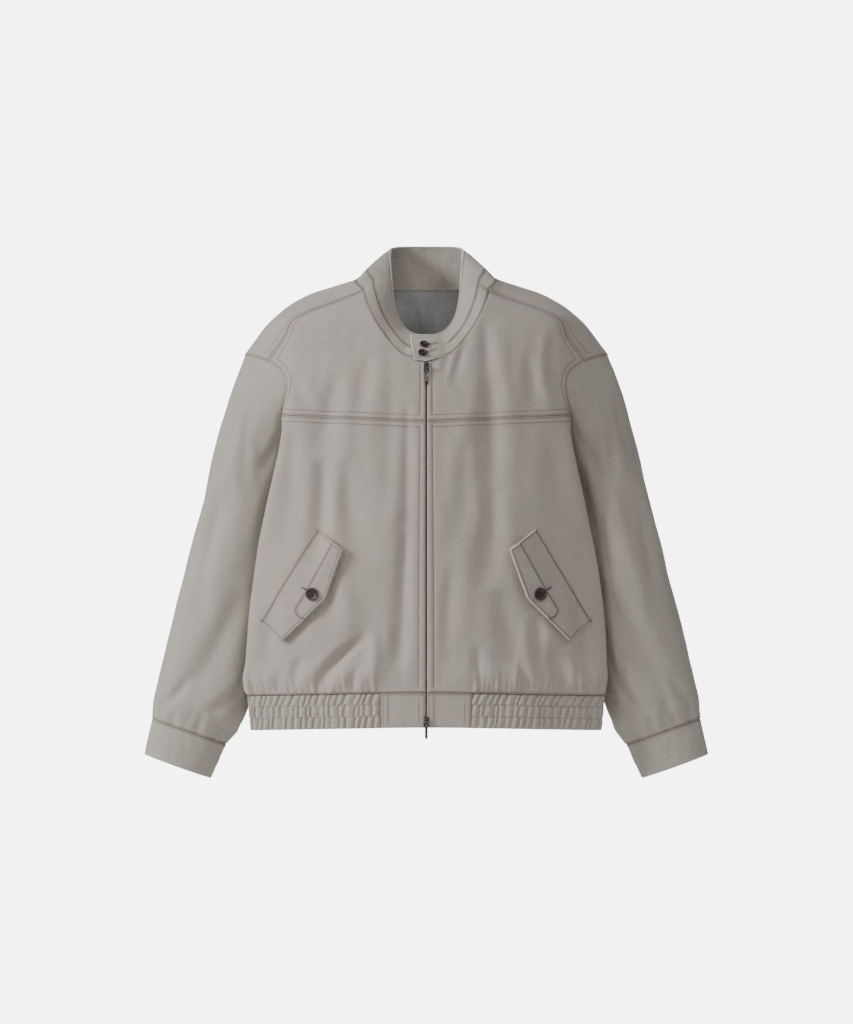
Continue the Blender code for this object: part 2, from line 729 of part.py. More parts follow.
def make_back(cloth):
    hem = HEM_LINE[HEM_SIDE:]
    armhole = np.concatenate((ARMHOLE[UNDERARM:], ARMHOLE[1:SHOULDER_END + 1]))
    left_edge = outline(SHOULDER_LINE, armhole[::-1], SIDE_LINE[::-1], hem)
    right_up = outline(far_side(hem)[::-1], far_side(SIDE_LINE), far_side(armhole),
                       far_side(SHOULDER_LINE)[::-1])
    neck = outline(far_side(NECK_BACK_LINE), NECK_BACK_LINE[::-1])
    edge = np.concatenate((left_edge, right_up, neck))
    left = HEM_GIRTHS[HEM_SIDE + 2:-1]
    girths = np.concatenate((left, [GIRTH_BACK], 2 * GIRTH_BACK - left[::-1]))
    body_wall("back", cloth, edge, BACK_SPACING, CLOTH, extra=gather_points(girths),
              relief=gather_relief)


LINING_EDGE = ((372.0, -20.0), (392.0, -60.0), (384.0, -150.0), (376.0, -280.0), (376.0, -590.0))
LINING_NECK_POINTS = 6
LINING_NECK_DROP = 0.8


def lining_ease(girth, height):
    """The lining hangs close at the neck and free of the back below."""
    below = np.clip((NECK_BACK[-1].height - height) / LINING_EASE_DROP, 0, 1)
    return -LINING_NECK_EASE - (LINING_EASE - LINING_NECK_EASE) * below


def make_lining(satin):
    neck = NECK_BACK_LINE[-LINING_NECK_POINTS:].copy()
    neck[:, 1] -= LINING_NECK_DROP
    side = np.array(LINING_EDGE)
    left = np.concatenate((neck[::-1], side))
    path = np.concatenate([np.linspace(left[row], left[row + 1], 5)[:-1]
                           if row >= LINING_NECK_POINTS else left[row:row + 1]
                           for row in range(len(left) - 1)])
    hem = pairs(np.linspace(side[-1, 0], GIRTH_BACK, 7), side[-1, 1])
    left = np.concatenate((path, hem[:-1]))
    edge = np.concatenate((left, far_side(np.concatenate((left[1:], hem[-1:])))[::-1]))
    body_wall("back_lining", satin, edge, LINING_SPACING, LINING, lift=-CLOTH,
              shift=lining_ease)


# Sleeves and cuffs

def ring_points(ring, angle):
    """Points round one sleeve ring: the outer end at 0, the front at a quarter turn."""
    out = np.array((ring.out_x, 0, ring.out_height), float)
    inner = np.array((ring.in_x, 0, ring.in_height), float)
    middle, reach = (out + inner) / 2, (out - inner) / 2
    depth = (ring.front + ring.back) / 2 - (ring.back - ring.front) / 2 * np.sin(angle)
    points = middle + np.cos(angle)[:, None] * reach
    points[:, 1] = depth
    return points


SLEEVE_ANGLES = np.linspace(0, 2 * np.pi, AROUND_SLEEVE + 1)[:-1]
SLEEVE_NET = np.stack([body_points(ARMHOLE[:-1, 0], ARMHOLE[:-1, 1])]
                      + [ring_points(ring, SLEEVE_ANGLES) for ring in SLEEVE_RINGS])


def sleeve_row(place):
    """Smooth points round the sleeve at a place counted in rings from the armhole."""
    keys = np.arange(len(SLEEVE_NET), dtype=float)
    flat = SLEEVE_NET.reshape(len(SLEEVE_NET), -1)
    return smooth_at(keys, flat, place).reshape(-1, 3)


def sleeve_normals(place):
    step = 0.04
    along = sleeve_row(place + step) - sleeve_row(max(0.0, place - step))
    row = sleeve_row(place)
    around = np.roll(row, -1, axis=0) - np.roll(row, 1, axis=0)
    return unit(np.cross(around, along))


def sleeve_relief(place):
    """Soft troughs across the sleeve, from its place and the angle round it."""
    degrees = np.degrees(SLEEVE_ANGLES)
    relief = np.zeros(len(degrees))
    ring_pitch, degree_pitch = 60.0, 1.15
    for row in SLEEVE_TROUGHS:
        start = (row.ring0 * ring_pitch, row.around0 * degree_pitch)
        end = (row.ring1 * ring_pitch, row.around1 * degree_pitch)
        distance, share = line_distance(place * ring_pitch, degrees * degree_pitch, start, end)
        relief = relief - trough_drop(distance, share, row.width, row.depth)
    return relief


def make_sleeves(cloth):
    """Sleeves from the armhole seam to the cuff seam, with the cuffs below."""
    armhole_out = body_normal(ARMHOLE[:-1, 0], ARMHOLE[:-1, 1])
    for kind, start, end, steps, thickness in (
            ("sleeve", 0.0, SLEEVE_END, SLEEVE_STEPS, CLOTH),
            ("cuff", SLEEVE_END, len(SLEEVE_RINGS), CUFF_STEPS, DOUBLE_CLOTH)):
        outer, inner = [], []
        for place in np.linspace(start, end, steps + 1):
            row, out = sleeve_row(place), sleeve_normals(place)
            along = unit(sleeve_row(place + 0.02) - row)
            if kind == "sleeve":
                row = row + out * sleeve_relief(place)[:, None]
            if place == 0.0:
                row = row + (along + armhole_out) * ARMHOLE_GAP
            elif place == start:
                row = row + along * SEAM_GAP / 2
            elif place == end and kind == "sleeve":
                row = row - along * SEAM_GAP / 2
            outer.append(row)
            inner.append(row - out * thickness)
        left = loft(kind + "_left", cloth, outer, inner, True)
        mirrored(left, kind + "_right")


# Collar

NECK_LINE = np.concatenate((NECK_FRONT_LINE, NECK_BACK_LINE[1:]))
NECK_SHARES = np.concatenate(([0], np.cumsum(np.linalg.norm(np.diff(
    body_points(NECK_LINE[:, 0], NECK_LINE[:, 1]), axis=0), axis=1))))
NECK_SHARES = NECK_SHARES / NECK_SHARES[-1]
NECK_POINTS = body_points(NECK_LINE[:, 0], NECK_LINE[:, 1])
NECK_OUT = body_normal(NECK_LINE[:, 0], NECK_LINE[:, 1])


def collar_face(share, up, lift=0.0):
    """Points of the collar's outer face; share is negative on the wearer's right."""
    share = np.atleast_1d(np.asarray(share, float))
    up = np.atleast_1d(np.asarray(up, float)) + 0 * share
    place = np.abs(share)
    base = smooth_at(NECK_SHARES, NECK_POINTS, place)
    top = smooth_at([row.share for row in COLLAR_TOP], [row[1:] for row in COLLAR_TOP], place)
    seam_out = smooth_at(NECK_SHARES, NECK_OUT, place)
    ahead = smooth_at(NECK_SHARES, NECK_POINTS, np.minimum(place + 0.01, 1.0))
    behind = smooth_at(NECK_SHARES, NECK_POINTS, np.maximum(place - 0.01, 0.0))
    out = unit(np.cross(ahead - behind, top - base))
    blend = np.clip(up / 0.2, 0, 1)[:, None]
    direction = unit(out * blend + unit(seam_out) * (1 - blend))
    rise = up[:, None]
    bulge = COLLAR_BULGE * 4 * rise * (1 - rise) * (rise > 0)
    points = base * (1 - rise) + top * rise + out * bulge + direction * np.reshape(lift, (-1, 1))
    points[:, 0] = np.maximum(points[:, 0], 0)
    points[:, 0] *= np.where(share < 0, -1, 1)
    return points


def collar_share(x, up):
    """Share round the collar where its face has the given x at that rise."""
    reach = np.linspace(0, 0.3, 61)
    found = []
    for across, rise in np.broadcast(x, up):
        face_x = collar_face(reach, rise)[:, 0]
        found.append(math.copysign(np.interp(abs(across), face_x, reach), across))
    return np.array(found)


def collar_rows(low, high, steps, lift):
    """Rows round the collar from the left centre front to the right."""
    half = NECK_SHARES
    rows = []
    for up in np.linspace(low, high, steps + 1):
        left = collar_face(half, up, lift)
        left[0, 0] = COLLAR_END_GAP
        right = left[:-1][::-1] * np.array((-1, 1, 1))
        left[-1, 0] = 0
        rows.append(np.concatenate((left, right)))
    return rows


def make_collar(cloth):
    depth = np.linalg.norm(collar_face(0.5, 1) - collar_face(0.5, 0))
    gap = SEAM_GAP / depth
    for name, low, high, steps in (("collar_band", gap, BAND_SHARE - gap / 2, 2),
                                   ("collar", BAND_SHARE + gap / 2, 1.0, COLLAR_STEPS)):
        loft(name, cloth, collar_rows(low, high, steps, 0.0),
             collar_rows(low, high, steps, -DOUBLE_CLOTH), False)


def make_collar_tab(cloth):
    """The tab lies over the closed collar ends, from the left to past the centre."""
    outer, inner = [], []
    for up in np.linspace(0, 1, TAB_ROWS):
        right, left = (np.interp(up, (0, 1), ends) for ends in (TAB_RIGHT_X, TAB_LEFT_X))
        x = np.linspace(left, right, TAB_COLUMNS)
        low = np.interp(x, (right, left), TAB_LOW)
        rise = low + (TAB_HIGH - low) * up
        shares = collar_share(x, rise)
        outer.append(collar_face(shares, rise, TAB_EASE + TAB_THICKNESS))
        inner.append(collar_face(shares, rise, TAB_EASE))
    loft("collar_tab", cloth, outer[::-1], inner[::-1], False)


# Waistband

def rib_relief(girth, height):
    """Upright ribs between the stitched lines of the elastic."""
    turn = rib_turn(girth)
    crest = np.abs(turn - np.round(turn)) > RIB_CREST
    down = (hem_height(girth) - height) / BAND_HEIGHT
    between = np.min(np.abs(down[:, None] - np.array(RIB_LINES)[None]), axis=1)
    return RIB_HEIGHT * crest * np.clip(between / RIB_FADE, 0, 1)


def make_waistband(cloth):
    top = pairs(PLAIN_GIRTHS, hem_height(PLAIN_GIRTHS))
    low = np.stack((top[:, 0], top[:, 1] - BAND_HEIGHT), axis=1)
    edge = np.concatenate((low, top[::-1]))
    for name, line in (("waistband_front_left", edge), ("waistband_front_right", to_right(edge))):
        body_wall(name, cloth, line, 0, DOUBLE_CLOTH)
    girths = np.concatenate((RIB_GIRTHS, 2 * GIRTH_BACK - RIB_GIRTHS[-2::-1]))
    top = pairs(girths, hem_height(girths))
    low = np.stack((top[:, 0], top[:, 1] - BAND_HEIGHT), axis=1)
    edge = np.concatenate((low, top[::-1]))
    middles = (girths[1:] + girths[:-1]) / 2
    extra = []
    for down in RIB_LINES[1:-1]:
        extra.append(np.stack((girths[1:-1], top[1:-1, 1] - down * BAND_HEIGHT), axis=1))
    for down in RIB_ROWS:
        level = (top[1:, 1] + top[:-1, 1]) / 2 - down * BAND_HEIGHT
        extra.append(np.stack((middles, level), axis=1))
        extra.append(np.stack((girths[1:-1], top[1:-1, 1] - down * BAND_HEIGHT), axis=1))
    body_wall("waistband_elastic", cloth, edge, 0, DOUBLE_CLOTH, extra=np.concatenate(extra),
              relief=rib_relief, inner_extra=np.zeros((0, 2)))


# Pocket flaps

def make_flaps(cloth):
    """Flaps on the fronts, each with its strip; each uses the points of what lies on it."""
    flap_face = FLAP_EASE + FLAP_THICKNESS
    tab_face = flap_face + FLAP_EASE + FLAP_TAB_THICKNESS
    for side, turn in (("left", np.array), ("right", to_right)):
        body_wall("flap_" + side, cloth, turn(FLAP_LINE), FLAP_SPACING, FLAP_THICKNESS,
                  lift=flap_face, extra=turn(FLAP_TAB_PLACES))
        body_wall("flap_tab_" + side, cloth, turn(FLAP_TAB_LINE), FLAP_SPACING,
                  FLAP_TAB_THICKNESS, lift=tab_face)


# Buttons

def make_button(name, material, centre, out, button):
    """A turned button with a raised rim, its back face at centre and facing out."""
    profile = ((0.0, 0.0), (button.radius * 0.8, 0.0), (button.radius, button.thickness * 0.45),
               (button.radius * 0.93, button.thickness), (button.radius - button.rim,
               button.thickness), (button.radius - button.rim * 1.5, button.thickness * 0.7),
               (0.0, button.thickness * 0.7))
    out = Vector(out).normalized()
    turn = out.to_track_quat("Z", "Y").to_matrix()
    points, faces = [], []
    for radius, rise in profile:
        sides = 1 if radius == 0 else BUTTON_SIDES
        for side in range(sides):
            angle = 2 * math.pi * side / BUTTON_SIDES
            local = Vector((radius * math.cos(angle), radius * math.sin(angle), rise))
            points.append(Vector(centre) + turn @ local)
    rings = [1 + ring * BUTTON_SIDES for ring in range(len(profile) - 2)]
    last = len(points) - 1
    for side in range(BUTTON_SIDES):
        following = (side + 1) % BUTTON_SIDES
        faces.append((0, rings[0] + following, rings[0] + side))
        faces.append((last, rings[-1] + side, rings[-1] + following))
        for low, high in zip(rings, rings[1:]):
            faces.append((low + side, low + following, high + following, high + side))
    make_object(name, np.array([tuple(point) for point in points]), faces, material)


def make_buttons(horn):
    x, height = POCKET_BUTTON_PLACE
    girth = solve_girth(height, x, 0, 0, GIRTH_FOLD)[0]
    lift = 2 * FLAP_EASE + FLAP_THICKNESS + FLAP_TAB_THICKNESS + POCKET_BUTTON_EASE
    for side, sign in (("left", 1), ("right", -1)):
        centre = body_points(sign * girth, height, lift)[0]
        out = body_normal(sign * girth, height)[0]
        make_button("pocket_button_" + side, horn, centre, out, POCKET_BUTTON)
    for name, x, up in COLLAR_BUTTON_PLACES:
        share = collar_share(x, up)[0]
        seat = TAB_EASE + TAB_THICKNESS + COLLAR_BUTTON_EASE
        centre = collar_face(share, up, seat)[0]
        out = centre - collar_face(share, up, seat - 1.0)[0]
        make_button(name, horn, centre, out, COLLAR_BUTTON)


# Zip

def make_zip_sides(metal):
    """Tapes behind the front edges, each with a thicker chain along its edge."""
    back_of_cloth = -DOUBLE_CLOTH - SEAM_GAP
    section = ((0.2, 0.0), (CHAIN_WIDTH, 0.0), (TAPE_WIDTH, 0.0), (TAPE_WIDTH, -TAPE),
               (CHAIN_WIDTH + 0.2, -TAPE), (CHAIN_WIDTH, -CHAIN), (0.2, -CHAIN))
    rows = []
    for height in levels(ZIP_BOTTOM_HEIGHT, ZIP_TOP_HEIGHT, 540 / ZIP_ROWS):
        across = np.array([x for x, _ in section])
        lift = np.array([depth for _, depth in section]) + back_of_cloth
        rows.append(body_points(centre_girth(np.full(len(section), height), across), height, lift))
    rows = np.array(rows)
    columns = len(section)
    faces = [tuple(range(columns))[::-1], tuple(range((len(rows) - 1) * columns,
                                                      len(rows) * columns))]
    for row in range(len(rows) - 1):
        for column in range(columns):
            a = row * columns + column
            b = row * columns + (column + 1) % columns
            faces.append((a, b, b + columns, a + columns))
    left = make_object("zip_left", rows.reshape(-1, 3), faces, metal)
    bmesh_outward(left)
    mirrored(left, "zip_right")


def bmesh_outward(made):
    """Turn an object's faces outwards."""
    shape = bmesh.new()
    shape.from_mesh(made.data)
    bmesh.ops.recalc_face_normals(shape, faces=shape.faces)
    shape.to_mesh(made.data)
    shape.free()


def block(centre, size):
    """A box operand, in the slider's own frame: x across, y out of the cloth, z up."""
    shape = bmesh.new()
    bmesh.ops.create_cube(shape, size=1.0)
    bmesh.ops.scale(shape, vec=size, verts=shape.verts)
    bmesh.ops.translate(shape, vec=centre, verts=shape.verts)
    return shape


def rod(centre, radius, length, sides=16):
    """A cylinder operand along x."""
    shape = bmesh.new()
    bmesh.ops.create_cone(shape, cap_ends=True, segments=sides, radius1=radius, radius2=radius,
                          depth=length)
    bmesh.ops.rotate(shape, cent=(0, 0, 0), matrix=Matrix.Rotation(math.pi / 2, 3, "Y"),
                     verts=shape.verts)
    bmesh.ops.translate(shape, vec=centre, verts=shape.verts)
    return shape


def metal_piece(name, metal, origin, tilt, base, added, removed=()):
    """Union blocks and rods, cut others away, and set the piece at its origin."""
    def as_object(label, shape):
        mesh = bpy.data.meshes.new(label)
        shape.to_mesh(mesh)
        shape.free()
        mesh.transform(Matrix.Scale(MM, 4))
        made = bpy.data.objects.new(label, mesh)
        made.location = origin * MM
        made.rotation_euler = (tilt, 0, 0)
        bpy.context.scene.collection.objects.link(made)
        return made

    piece = as_object(name, base)
    piece.data.materials.append(metal)
    for number, (shape, operation) in enumerate([(s, "UNION") for s in added]
                                                + [(s, "DIFFERENCE") for s in removed]):
        helper = as_object(f"{name}_shape_{number}", shape)
        helper.hide_render = True
        helper.display_type = "WIRE"
        step = piece.modifiers.new(operation.lower(), "BOOLEAN")
        step.operation = operation
        step.object = helper
        step.solver = "EXACT"
    return piece


def make_slider(place, metal, height, tilt):
    """A slider whose front plate lies on the cloth, and the pull that hangs from its pin."""
    plate_back = SLIDER_LIFT
    pin_out = plate_back + SLIDER_PLATE + PIN_RISE
    web_depth = plate_back + DOUBLE_CLOTH
    surface = body_points(0.0, height)[0]
    plate = block((0, -(plate_back + SLIDER_PLATE / 2), 0),
                  (SLIDER_WIDTH, SLIDER_PLATE, SLIDER_LENGTH))
    web = block((0, web_depth / 2 - plate_back - 0.1, 0), (WEB_WIDTH, web_depth, SLIDER_LENGTH - 3))
    added = [web]
    lug_reach = pin_out + 1.3 - plate_back
    for sign in (-1, 1):
        added.append(block((sign * (LUG_INNER + LUG_WIDTH / 2), -(plate_back + lug_reach / 2), 0),
                           (LUG_WIDTH, lug_reach, 3.2)))
    added.append(rod((0, -pin_out, 0), PIN_RADIUS, 2 * LUG_INNER + LUG_WIDTH))
    metal_piece("slider_" + place, metal, surface, tilt, plate, added)

    pivot = surface + np.array((0, -pin_out * math.cos(tilt), -pin_out * math.sin(tilt)))
    eye = rod((0, 0, 0), EYE_RADIUS, EYE_WIDTH)
    neck = block((0, 0, -(EYE_RADIUS + 0.8)), (EYE_WIDTH, PULL_THICKNESS, 2.6))
    grip = block((0, 0, -(PULL_LENGTH + 3.0) / 2), (PULL_WIDTH, PULL_THICKNESS, PULL_LENGTH - 3.0))
    hole = rod((0, 0, 0), EYE_HOLE, EYE_WIDTH * 2)
    metal_piece("pull_" + place, metal, pivot, 0.0, eye, [neck, grip], [hole])
    return pivot


def front_tilt(height):
    """Lean of the front at the centre line, about the x axis."""
    run = body_points((0.0, 0.0), (height + 8, height - 8))
    return math.atan2(run[1, 1] - run[0, 1], run[0, 2] - run[1, 2])


def build():
    for old in list(bpy.data.objects):
        bpy.data.objects.remove(old, do_unlink=True)
    cloth = finish("cotton_twill", (0.40, 0.37, 0.345), 0.85)
    satin = finish("lining_satin", (0.30, 0.31, 0.32), 0.4)
    horn = finish("button_horn", (0.045, 0.032, 0.026), 0.3)
    tape = finish("zip_tape", (0.20, 0.19, 0.17), 0.7)
    metal = finish("zip_metal", (0.22, 0.20, 0.18), 0.35, 1.0)
    make_fronts(cloth)
    make_yokes(cloth)
    make_back(cloth)
    make_lining(satin)
    make_sleeves(cloth)
    make_collar(cloth)
    make_collar_tab(cloth)
    make_waistband(cloth)
    make_flaps(cloth)
    make_buttons(horn)
    make_zip_sides(tape)
    for place, height in (("top", TOP_SLIDER_HEIGHT), ("bottom", BOTTOM_SLIDER_HEIGHT)):
        pivot = make_slider(place, metal, height, front_tilt(height))
        print("pull pivot", place, pivot)


build()
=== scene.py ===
# Harrington jacket: cloth, seams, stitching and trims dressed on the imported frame
import math
import bpy
import bmesh
import numpy as np
from mathutils import Matrix, Vector, noise
from mathutils.geometry import delaunay_2d_cdt


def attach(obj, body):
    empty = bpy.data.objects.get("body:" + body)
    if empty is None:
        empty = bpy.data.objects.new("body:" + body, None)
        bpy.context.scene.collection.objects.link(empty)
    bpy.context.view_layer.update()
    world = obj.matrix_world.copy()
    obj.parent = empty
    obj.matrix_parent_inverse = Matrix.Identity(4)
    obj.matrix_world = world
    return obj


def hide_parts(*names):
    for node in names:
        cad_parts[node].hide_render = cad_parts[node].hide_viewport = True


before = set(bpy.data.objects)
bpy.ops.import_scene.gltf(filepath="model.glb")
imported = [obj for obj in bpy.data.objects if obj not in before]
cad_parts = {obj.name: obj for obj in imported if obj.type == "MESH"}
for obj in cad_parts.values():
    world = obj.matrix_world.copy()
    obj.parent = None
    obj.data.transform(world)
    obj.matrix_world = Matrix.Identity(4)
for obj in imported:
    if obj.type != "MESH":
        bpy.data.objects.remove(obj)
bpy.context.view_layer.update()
print("frame loaded")

mm = 0.001  # lengths below are millimetres unless a name says otherwise


# smooth curves through short tables

def smoothAt(keys, values, at):
    keys, values = np.asarray(keys, float), np.asarray(values, float)
    at = np.atleast_1d(np.asarray(at, float))
    slope = np.gradient(values, keys, axis=0)
    low = np.clip(np.searchsorted(keys, at) - 1, 0, len(keys) - 2)
    step = (keys[low + 1] - keys[low])[:, None]
    t = (at - keys[low])[:, None] / step
    start = (1 + 2 * t) * (1 - t) ** 2 * values[low] + t * (1 - t) ** 2 * step * slope[low]
    end = t * t * (3 - 2 * t) * values[low + 1] + t * t * (t - 1) * step * slope[low + 1]
    return start + end


def runLengths(points):
    return np.concatenate(([0], np.cumsum(np.linalg.norm(np.diff(points, axis=0), axis=1))))


def smoothPath(points, steps):
    points = np.asarray(points, float)
    chord = runLengths(points)
    return smoothAt(chord, points, np.linspace(0, chord[-1], steps + 1))


def unit(vectors):
    return vectors / np.maximum(np.linalg.norm(vectors, axis=-1, keepdims=True), 1e-9)


def hump(distance, width):
    return np.exp(-(distance / width) ** 2)


def rolled(distance, reach):
    # 1 at an edge, falling to 0 at the reach
    return np.clip(1 - distance / reach, 0, 1) ** 2


def eased(share):
    return share * share * (3 - 2 * share)


def noiseAt(points, size, seed=0.0):
    # soft noise, -1 to 1; size is its grain
    scaled = np.asarray(points) / np.asarray(size, float) + seed
    return np.array([noise.noise(row) for row in scaled.tolist()])


# the body surface: girth runs from centre front to centre back, height is z

body = {
    "fold": 230.0, "side": 300.0, "backFold": 365.0, "back": 590.0,
    "sideDepth": 8.0, "frontFlatness": 2.2, "backFlatness": 2.4, "foldRounding": 9.0,
    # height, front, foldX, foldY, sideX, backX, backY, back
    "sections": (
        (-670, -92, 262, -36, 250, 246, 54, 86), (-603, -95, 269, -38, 250, 246, 56, 88),
        (-555, -100, 273, -40, 240, 240, 58, 92), (-500, -103, 271, -42, 231, 232, 60, 95),
        (-387, -106, 255, -48, 214, 218, 62, 99), (-272, -107, 229, -60, 204, 206, 64, 103),
        (-230, -105, 220, -64, 210, 210, 65, 103), (-190, -103, 212, -66, 222, 216, 67, 103),
        (-143, -98, 203, -65, 246, 222, 70, 101), (-108, -92, 199, -62, 276, 222, 72, 98),
        (-75, -86, 199, -57, 259, 210, 72, 93), (-40, -78, 190, -46, 229, 184, 70, 88),
        (-16, -69, 131, -31, 196, 150, 65, 83), (-4, -62, 102, -24, 171, 126, 60, 79),
        (8, -54, 82, -26, 133, 96, 56, 75), (22, -44, 66, -30, 90, 70, 50, 70),
        (36, -36, 52, -28, 62, 48, 44, 64)),
}
sectionHeights = np.array([row[0] for row in body["sections"]], float)
sectionShapes = np.array([row[1:] for row in body["sections"]], float)


def bodyCorner(girth, height):
    sideSign = np.where((girth < 0) | (girth > body["back"]), -1.0, 1.0)
    g = np.abs(girth)
    g = np.where(g > body["back"], 2 * body["back"] - g, g)
    front, foldX, foldY, sideX, backX, backY, back = smoothAt(sectionHeights, sectionShapes, height).T
    t = g / body["fold"]
    frontX, frontY = foldX * t, front + (foldY - front) * t ** body["frontFlatness"]
    t = np.clip((body["back"] - g) / (body["back"] - body["backFold"]), 0, None)
    rearX, rearY = backX * t, back + (backY - back) * t ** body["backFlatness"]
    before = g < body["side"]
    t = np.where(before, (g - body["fold"]) / (body["side"] - body["fold"]),
                 (g - body["side"]) / (body["backFold"] - body["side"]))
    turned = []
    for fold, side, rear in ((foldX, sideX, backX), (foldY, body["sideDepth"], backY)):
        start, end = np.where(before, fold, side), np.where(before, side, rear)
        startSlope = np.where(before, side - fold, (rear - fold) / 2)
        endSlope = np.where(before, (rear - fold) / 2, rear - side)
        turned.append((1 + 2 * t) * (1 - t) ** 2 * start + t * (1 - t) ** 2 * startSlope
                      + t * t * (3 - 2 * t) * end + t * t * (t - 1) * endSlope)
    inFront, inBack = g <= body["fold"], g >= body["backFold"]
    x = np.where(inFront, frontX, np.where(inBack, rearX, turned[0]))
    y = np.where(inFront, frontY, np.where(inBack, rearY, turned[1]))
    return np.stack((x * sideSign, y, height), axis=-1)


def flatArrays(girth, height):
    girth = np.atleast_1d(np.asarray(girth, float))
    return girth, np.atleast_1d(np.asarray(height, float)) + 0 * girth


def bodySmooth(girth, height):
    girth, height = flatArrays(girth, height)
    rounding = body["foldRounding"]
    return (bodyCorner(girth + rounding, height) + 2 * bodyCorner(girth, height)
            + bodyCorner(girth - rounding, height)) / 4


def bodyNormal(girth, height):
    girth, height = flatArrays(girth, height)
    along = bodySmooth(girth + 2, height) - bodySmooth(girth - 2, height)
    upward = bodySmooth(girth, height + 2) - bodySmooth(girth, height - 2)
    return unit(np.cross(along, upward))


def solveGirth(height, value, axis, low, high):
    height = np.atleast_1d(np.asarray(height, float))
    low, high = np.full(height.shape, float(low)), np.full(height.shape, float(high))
    rising = bodySmooth(high, height)[:, axis] > bodySmooth(low, height)[:, axis]
    for _ in range(40):
        middle = (low + high) / 2
        goLow = (bodySmooth(middle, height)[:, axis] > value) == rising
        high, low = np.where(goLow, middle, high), np.where(goLow, low, middle)
    return (low + high) / 2


# folds and creases

folds = {
    # the same large troughs as the solids: x0, height0, x1, height1, width, depth
    "frontTroughs": (
        (-141, -125, -165, -250, 26, 5.0), (-156, -260, -178, -395, 24, 4.5),
        (-50, -130, -48, -330, 20, 5.0), (-38, -340, -52, -560, 20, 5.0),
        (-84, -508, -158, -592, 15, 6.0), (100, -130, 98, -440, 24, 4.5),
        (104, -450, 148, -560, 22, 3.0), (190, -520, 212, -590, 15, 5.0)),
    "backTroughs": (
        (150, -180, 110, -420, 26, 6.0), (-165, -190, -95, -390, 26, 6.0),
        (60, -470, 88, -585, 20, 5.5), (-40, -450, -70, -580, 20, 5.0),
        (-190, -440, -160, -575, 20, 5.5)),
    # smaller creases: x0, height0, x1, height1, bend, width, depth
    "frontCreases": (
        (-90, -518, -166, -606, 8, 7, 5.5), (-80, -506, -84, -584, -4, 7, -3.2),
        (-26, -170, -28, -420, -3, 12, 6.5), (-27, -360, -27, -560, 2, 11, 6.5),
        (-40, -500, -62, -604, -4, 10, 4.6), (-118, -250, -104, -400, 4, 12, 3.4),
        (-132, -130, -158, -300, 6, 17, 4.5), (-156, -250, -164, -420, -5, 11, 6.0),
        (-100, -240, -92, -420, 5, 19, 3.5), (-200, -210, -216, -400, -5, 13, 4.0),
        (-198, -128, -160, -196, 5, 9, 3.2), (-84, -96, -100, -196, 4, 15, 3.2),
        (-183, -548, -200, -606, 3, 8, 4.0), (-226, -470, -236, -572, 3, 10, 3.4),
        (-130, -430, -116, -520, -6, 13, -3.4), (-28, -520, -34, -604, 2, 9, 3.0),
        (-100, -560, -112, -606, 2, 7, 3.4), (-210, -560, -222, -606, 2, 7, 3.0),
        (46, -80, 20, -140, 3, 6, 2.2), (66, -62, 40, -150, 4, 8, 2.6),
        (84, -46, 96, -190, -5, 13, 4.0), (18, -112, 12, -150, 2, 4, 2.0),
        (98, -136, 92, -330, 4, 17, 4.2), (94, -300, 88, -450, -3, 14, 4.6),
        (110, -440, 146, -570, 8, 13, 2.4), (162, -486, 176, -592, 3, 9, 5.0),
        (40, -410, 22, -560, 5, 13, 3.8),
        (62, -214, 60, -390, 5, 15, 3.0), (182, -206, 196, -370, -5, 14, 2.0),
        (190, -60, 202, -180, 4, 10, 3.6), (186, -534, 212, -600, 5, 9, 5.0),
        (226, -450, 240, -580, 4, 10, 3.6), (150, -96, 160, -190, -3, 12, 3.0),
        (76, -530, 84, -606, 2, 8, 3.4), (140, -556, 146, -606, -2, 7, 3.2)),
    "backCreases": (
        (-122, -56, -170, -196, 8, 13, 4.4), (130, -64, 176, -205, -8, 13, 4.6),
        (18, -120, 8, -370, 8, 20, 4.4), (-66, -190, -80, -440, -8, 18, 4.4),
        (-118, -480, -104, -600, 4, 10, 4.8), (130, -470, 148, -600, -4, 11, 5.0),
        (0, -500, 14, -602, 3, 9, 4.0), (200, -370, 216, -570, -6, 13, 4.4),
        (60, -250, 92, -400, 5, 14, 3.4), (-200, -250, -206, -400, 5, 13, 4.2),
        (-150, -400, -60, -470, 10, 14, 4.0), (60, -420, 150, -380, 8, 14, 3.4)),
    # at the sides: girth0, height0, girth1, height1, bend, width, depth
    "sideCreases": (
        (286, -292, 272, -440, 6, 12, 4.0), (316, -290, 340, -460, -6, 13, 4.5),
        (300, -400, 296, -590, 8, 11, 4.0), (262, -480, 270, -596, 3, 8, 3.0),
        (342, -500, 330, -598, 4, 9, 3.4)),
    # size, grain, seed
    "waves": ((1.8, (52, 150, 50), 0.0), (1.0, (23, 64, 50), 7.3)),
    "placketKeep": 15.0,
}


def alongFold(u, v, u0, v0, u1, v1):
    # share of the way from end to end, and distance across
    runU, runV = u1 - u0, v1 - v0
    length = math.hypot(runU, runV)
    share = ((u - u0) * runU + (v - v0) * runV) / length ** 2
    return share, ((u - u0) * runV - (v - v0) * runU) / length


def creaseDrop(u, v, rows):
    # a soft valley with a low shoulder on each side, fading out at both ends
    relief = np.zeros(np.shape(u))
    for *ends, bend, width, depth in rows:
        share, across = alongFold(u, v, *ends)
        across = across - bend * 4 * share * (1 - share)
        share = np.clip(share, 0, 1)
        wide = width * (0.75 + 0.5 * share)
        shoulder = 0.32 * np.exp(-((np.abs(across) - 1.9 * wide) / wide) ** 2)
        relief = relief - depth * np.sin(np.pi * share) ** 0.7 * (np.exp(-(across / wide) ** 2) - shoulder)
    return relief


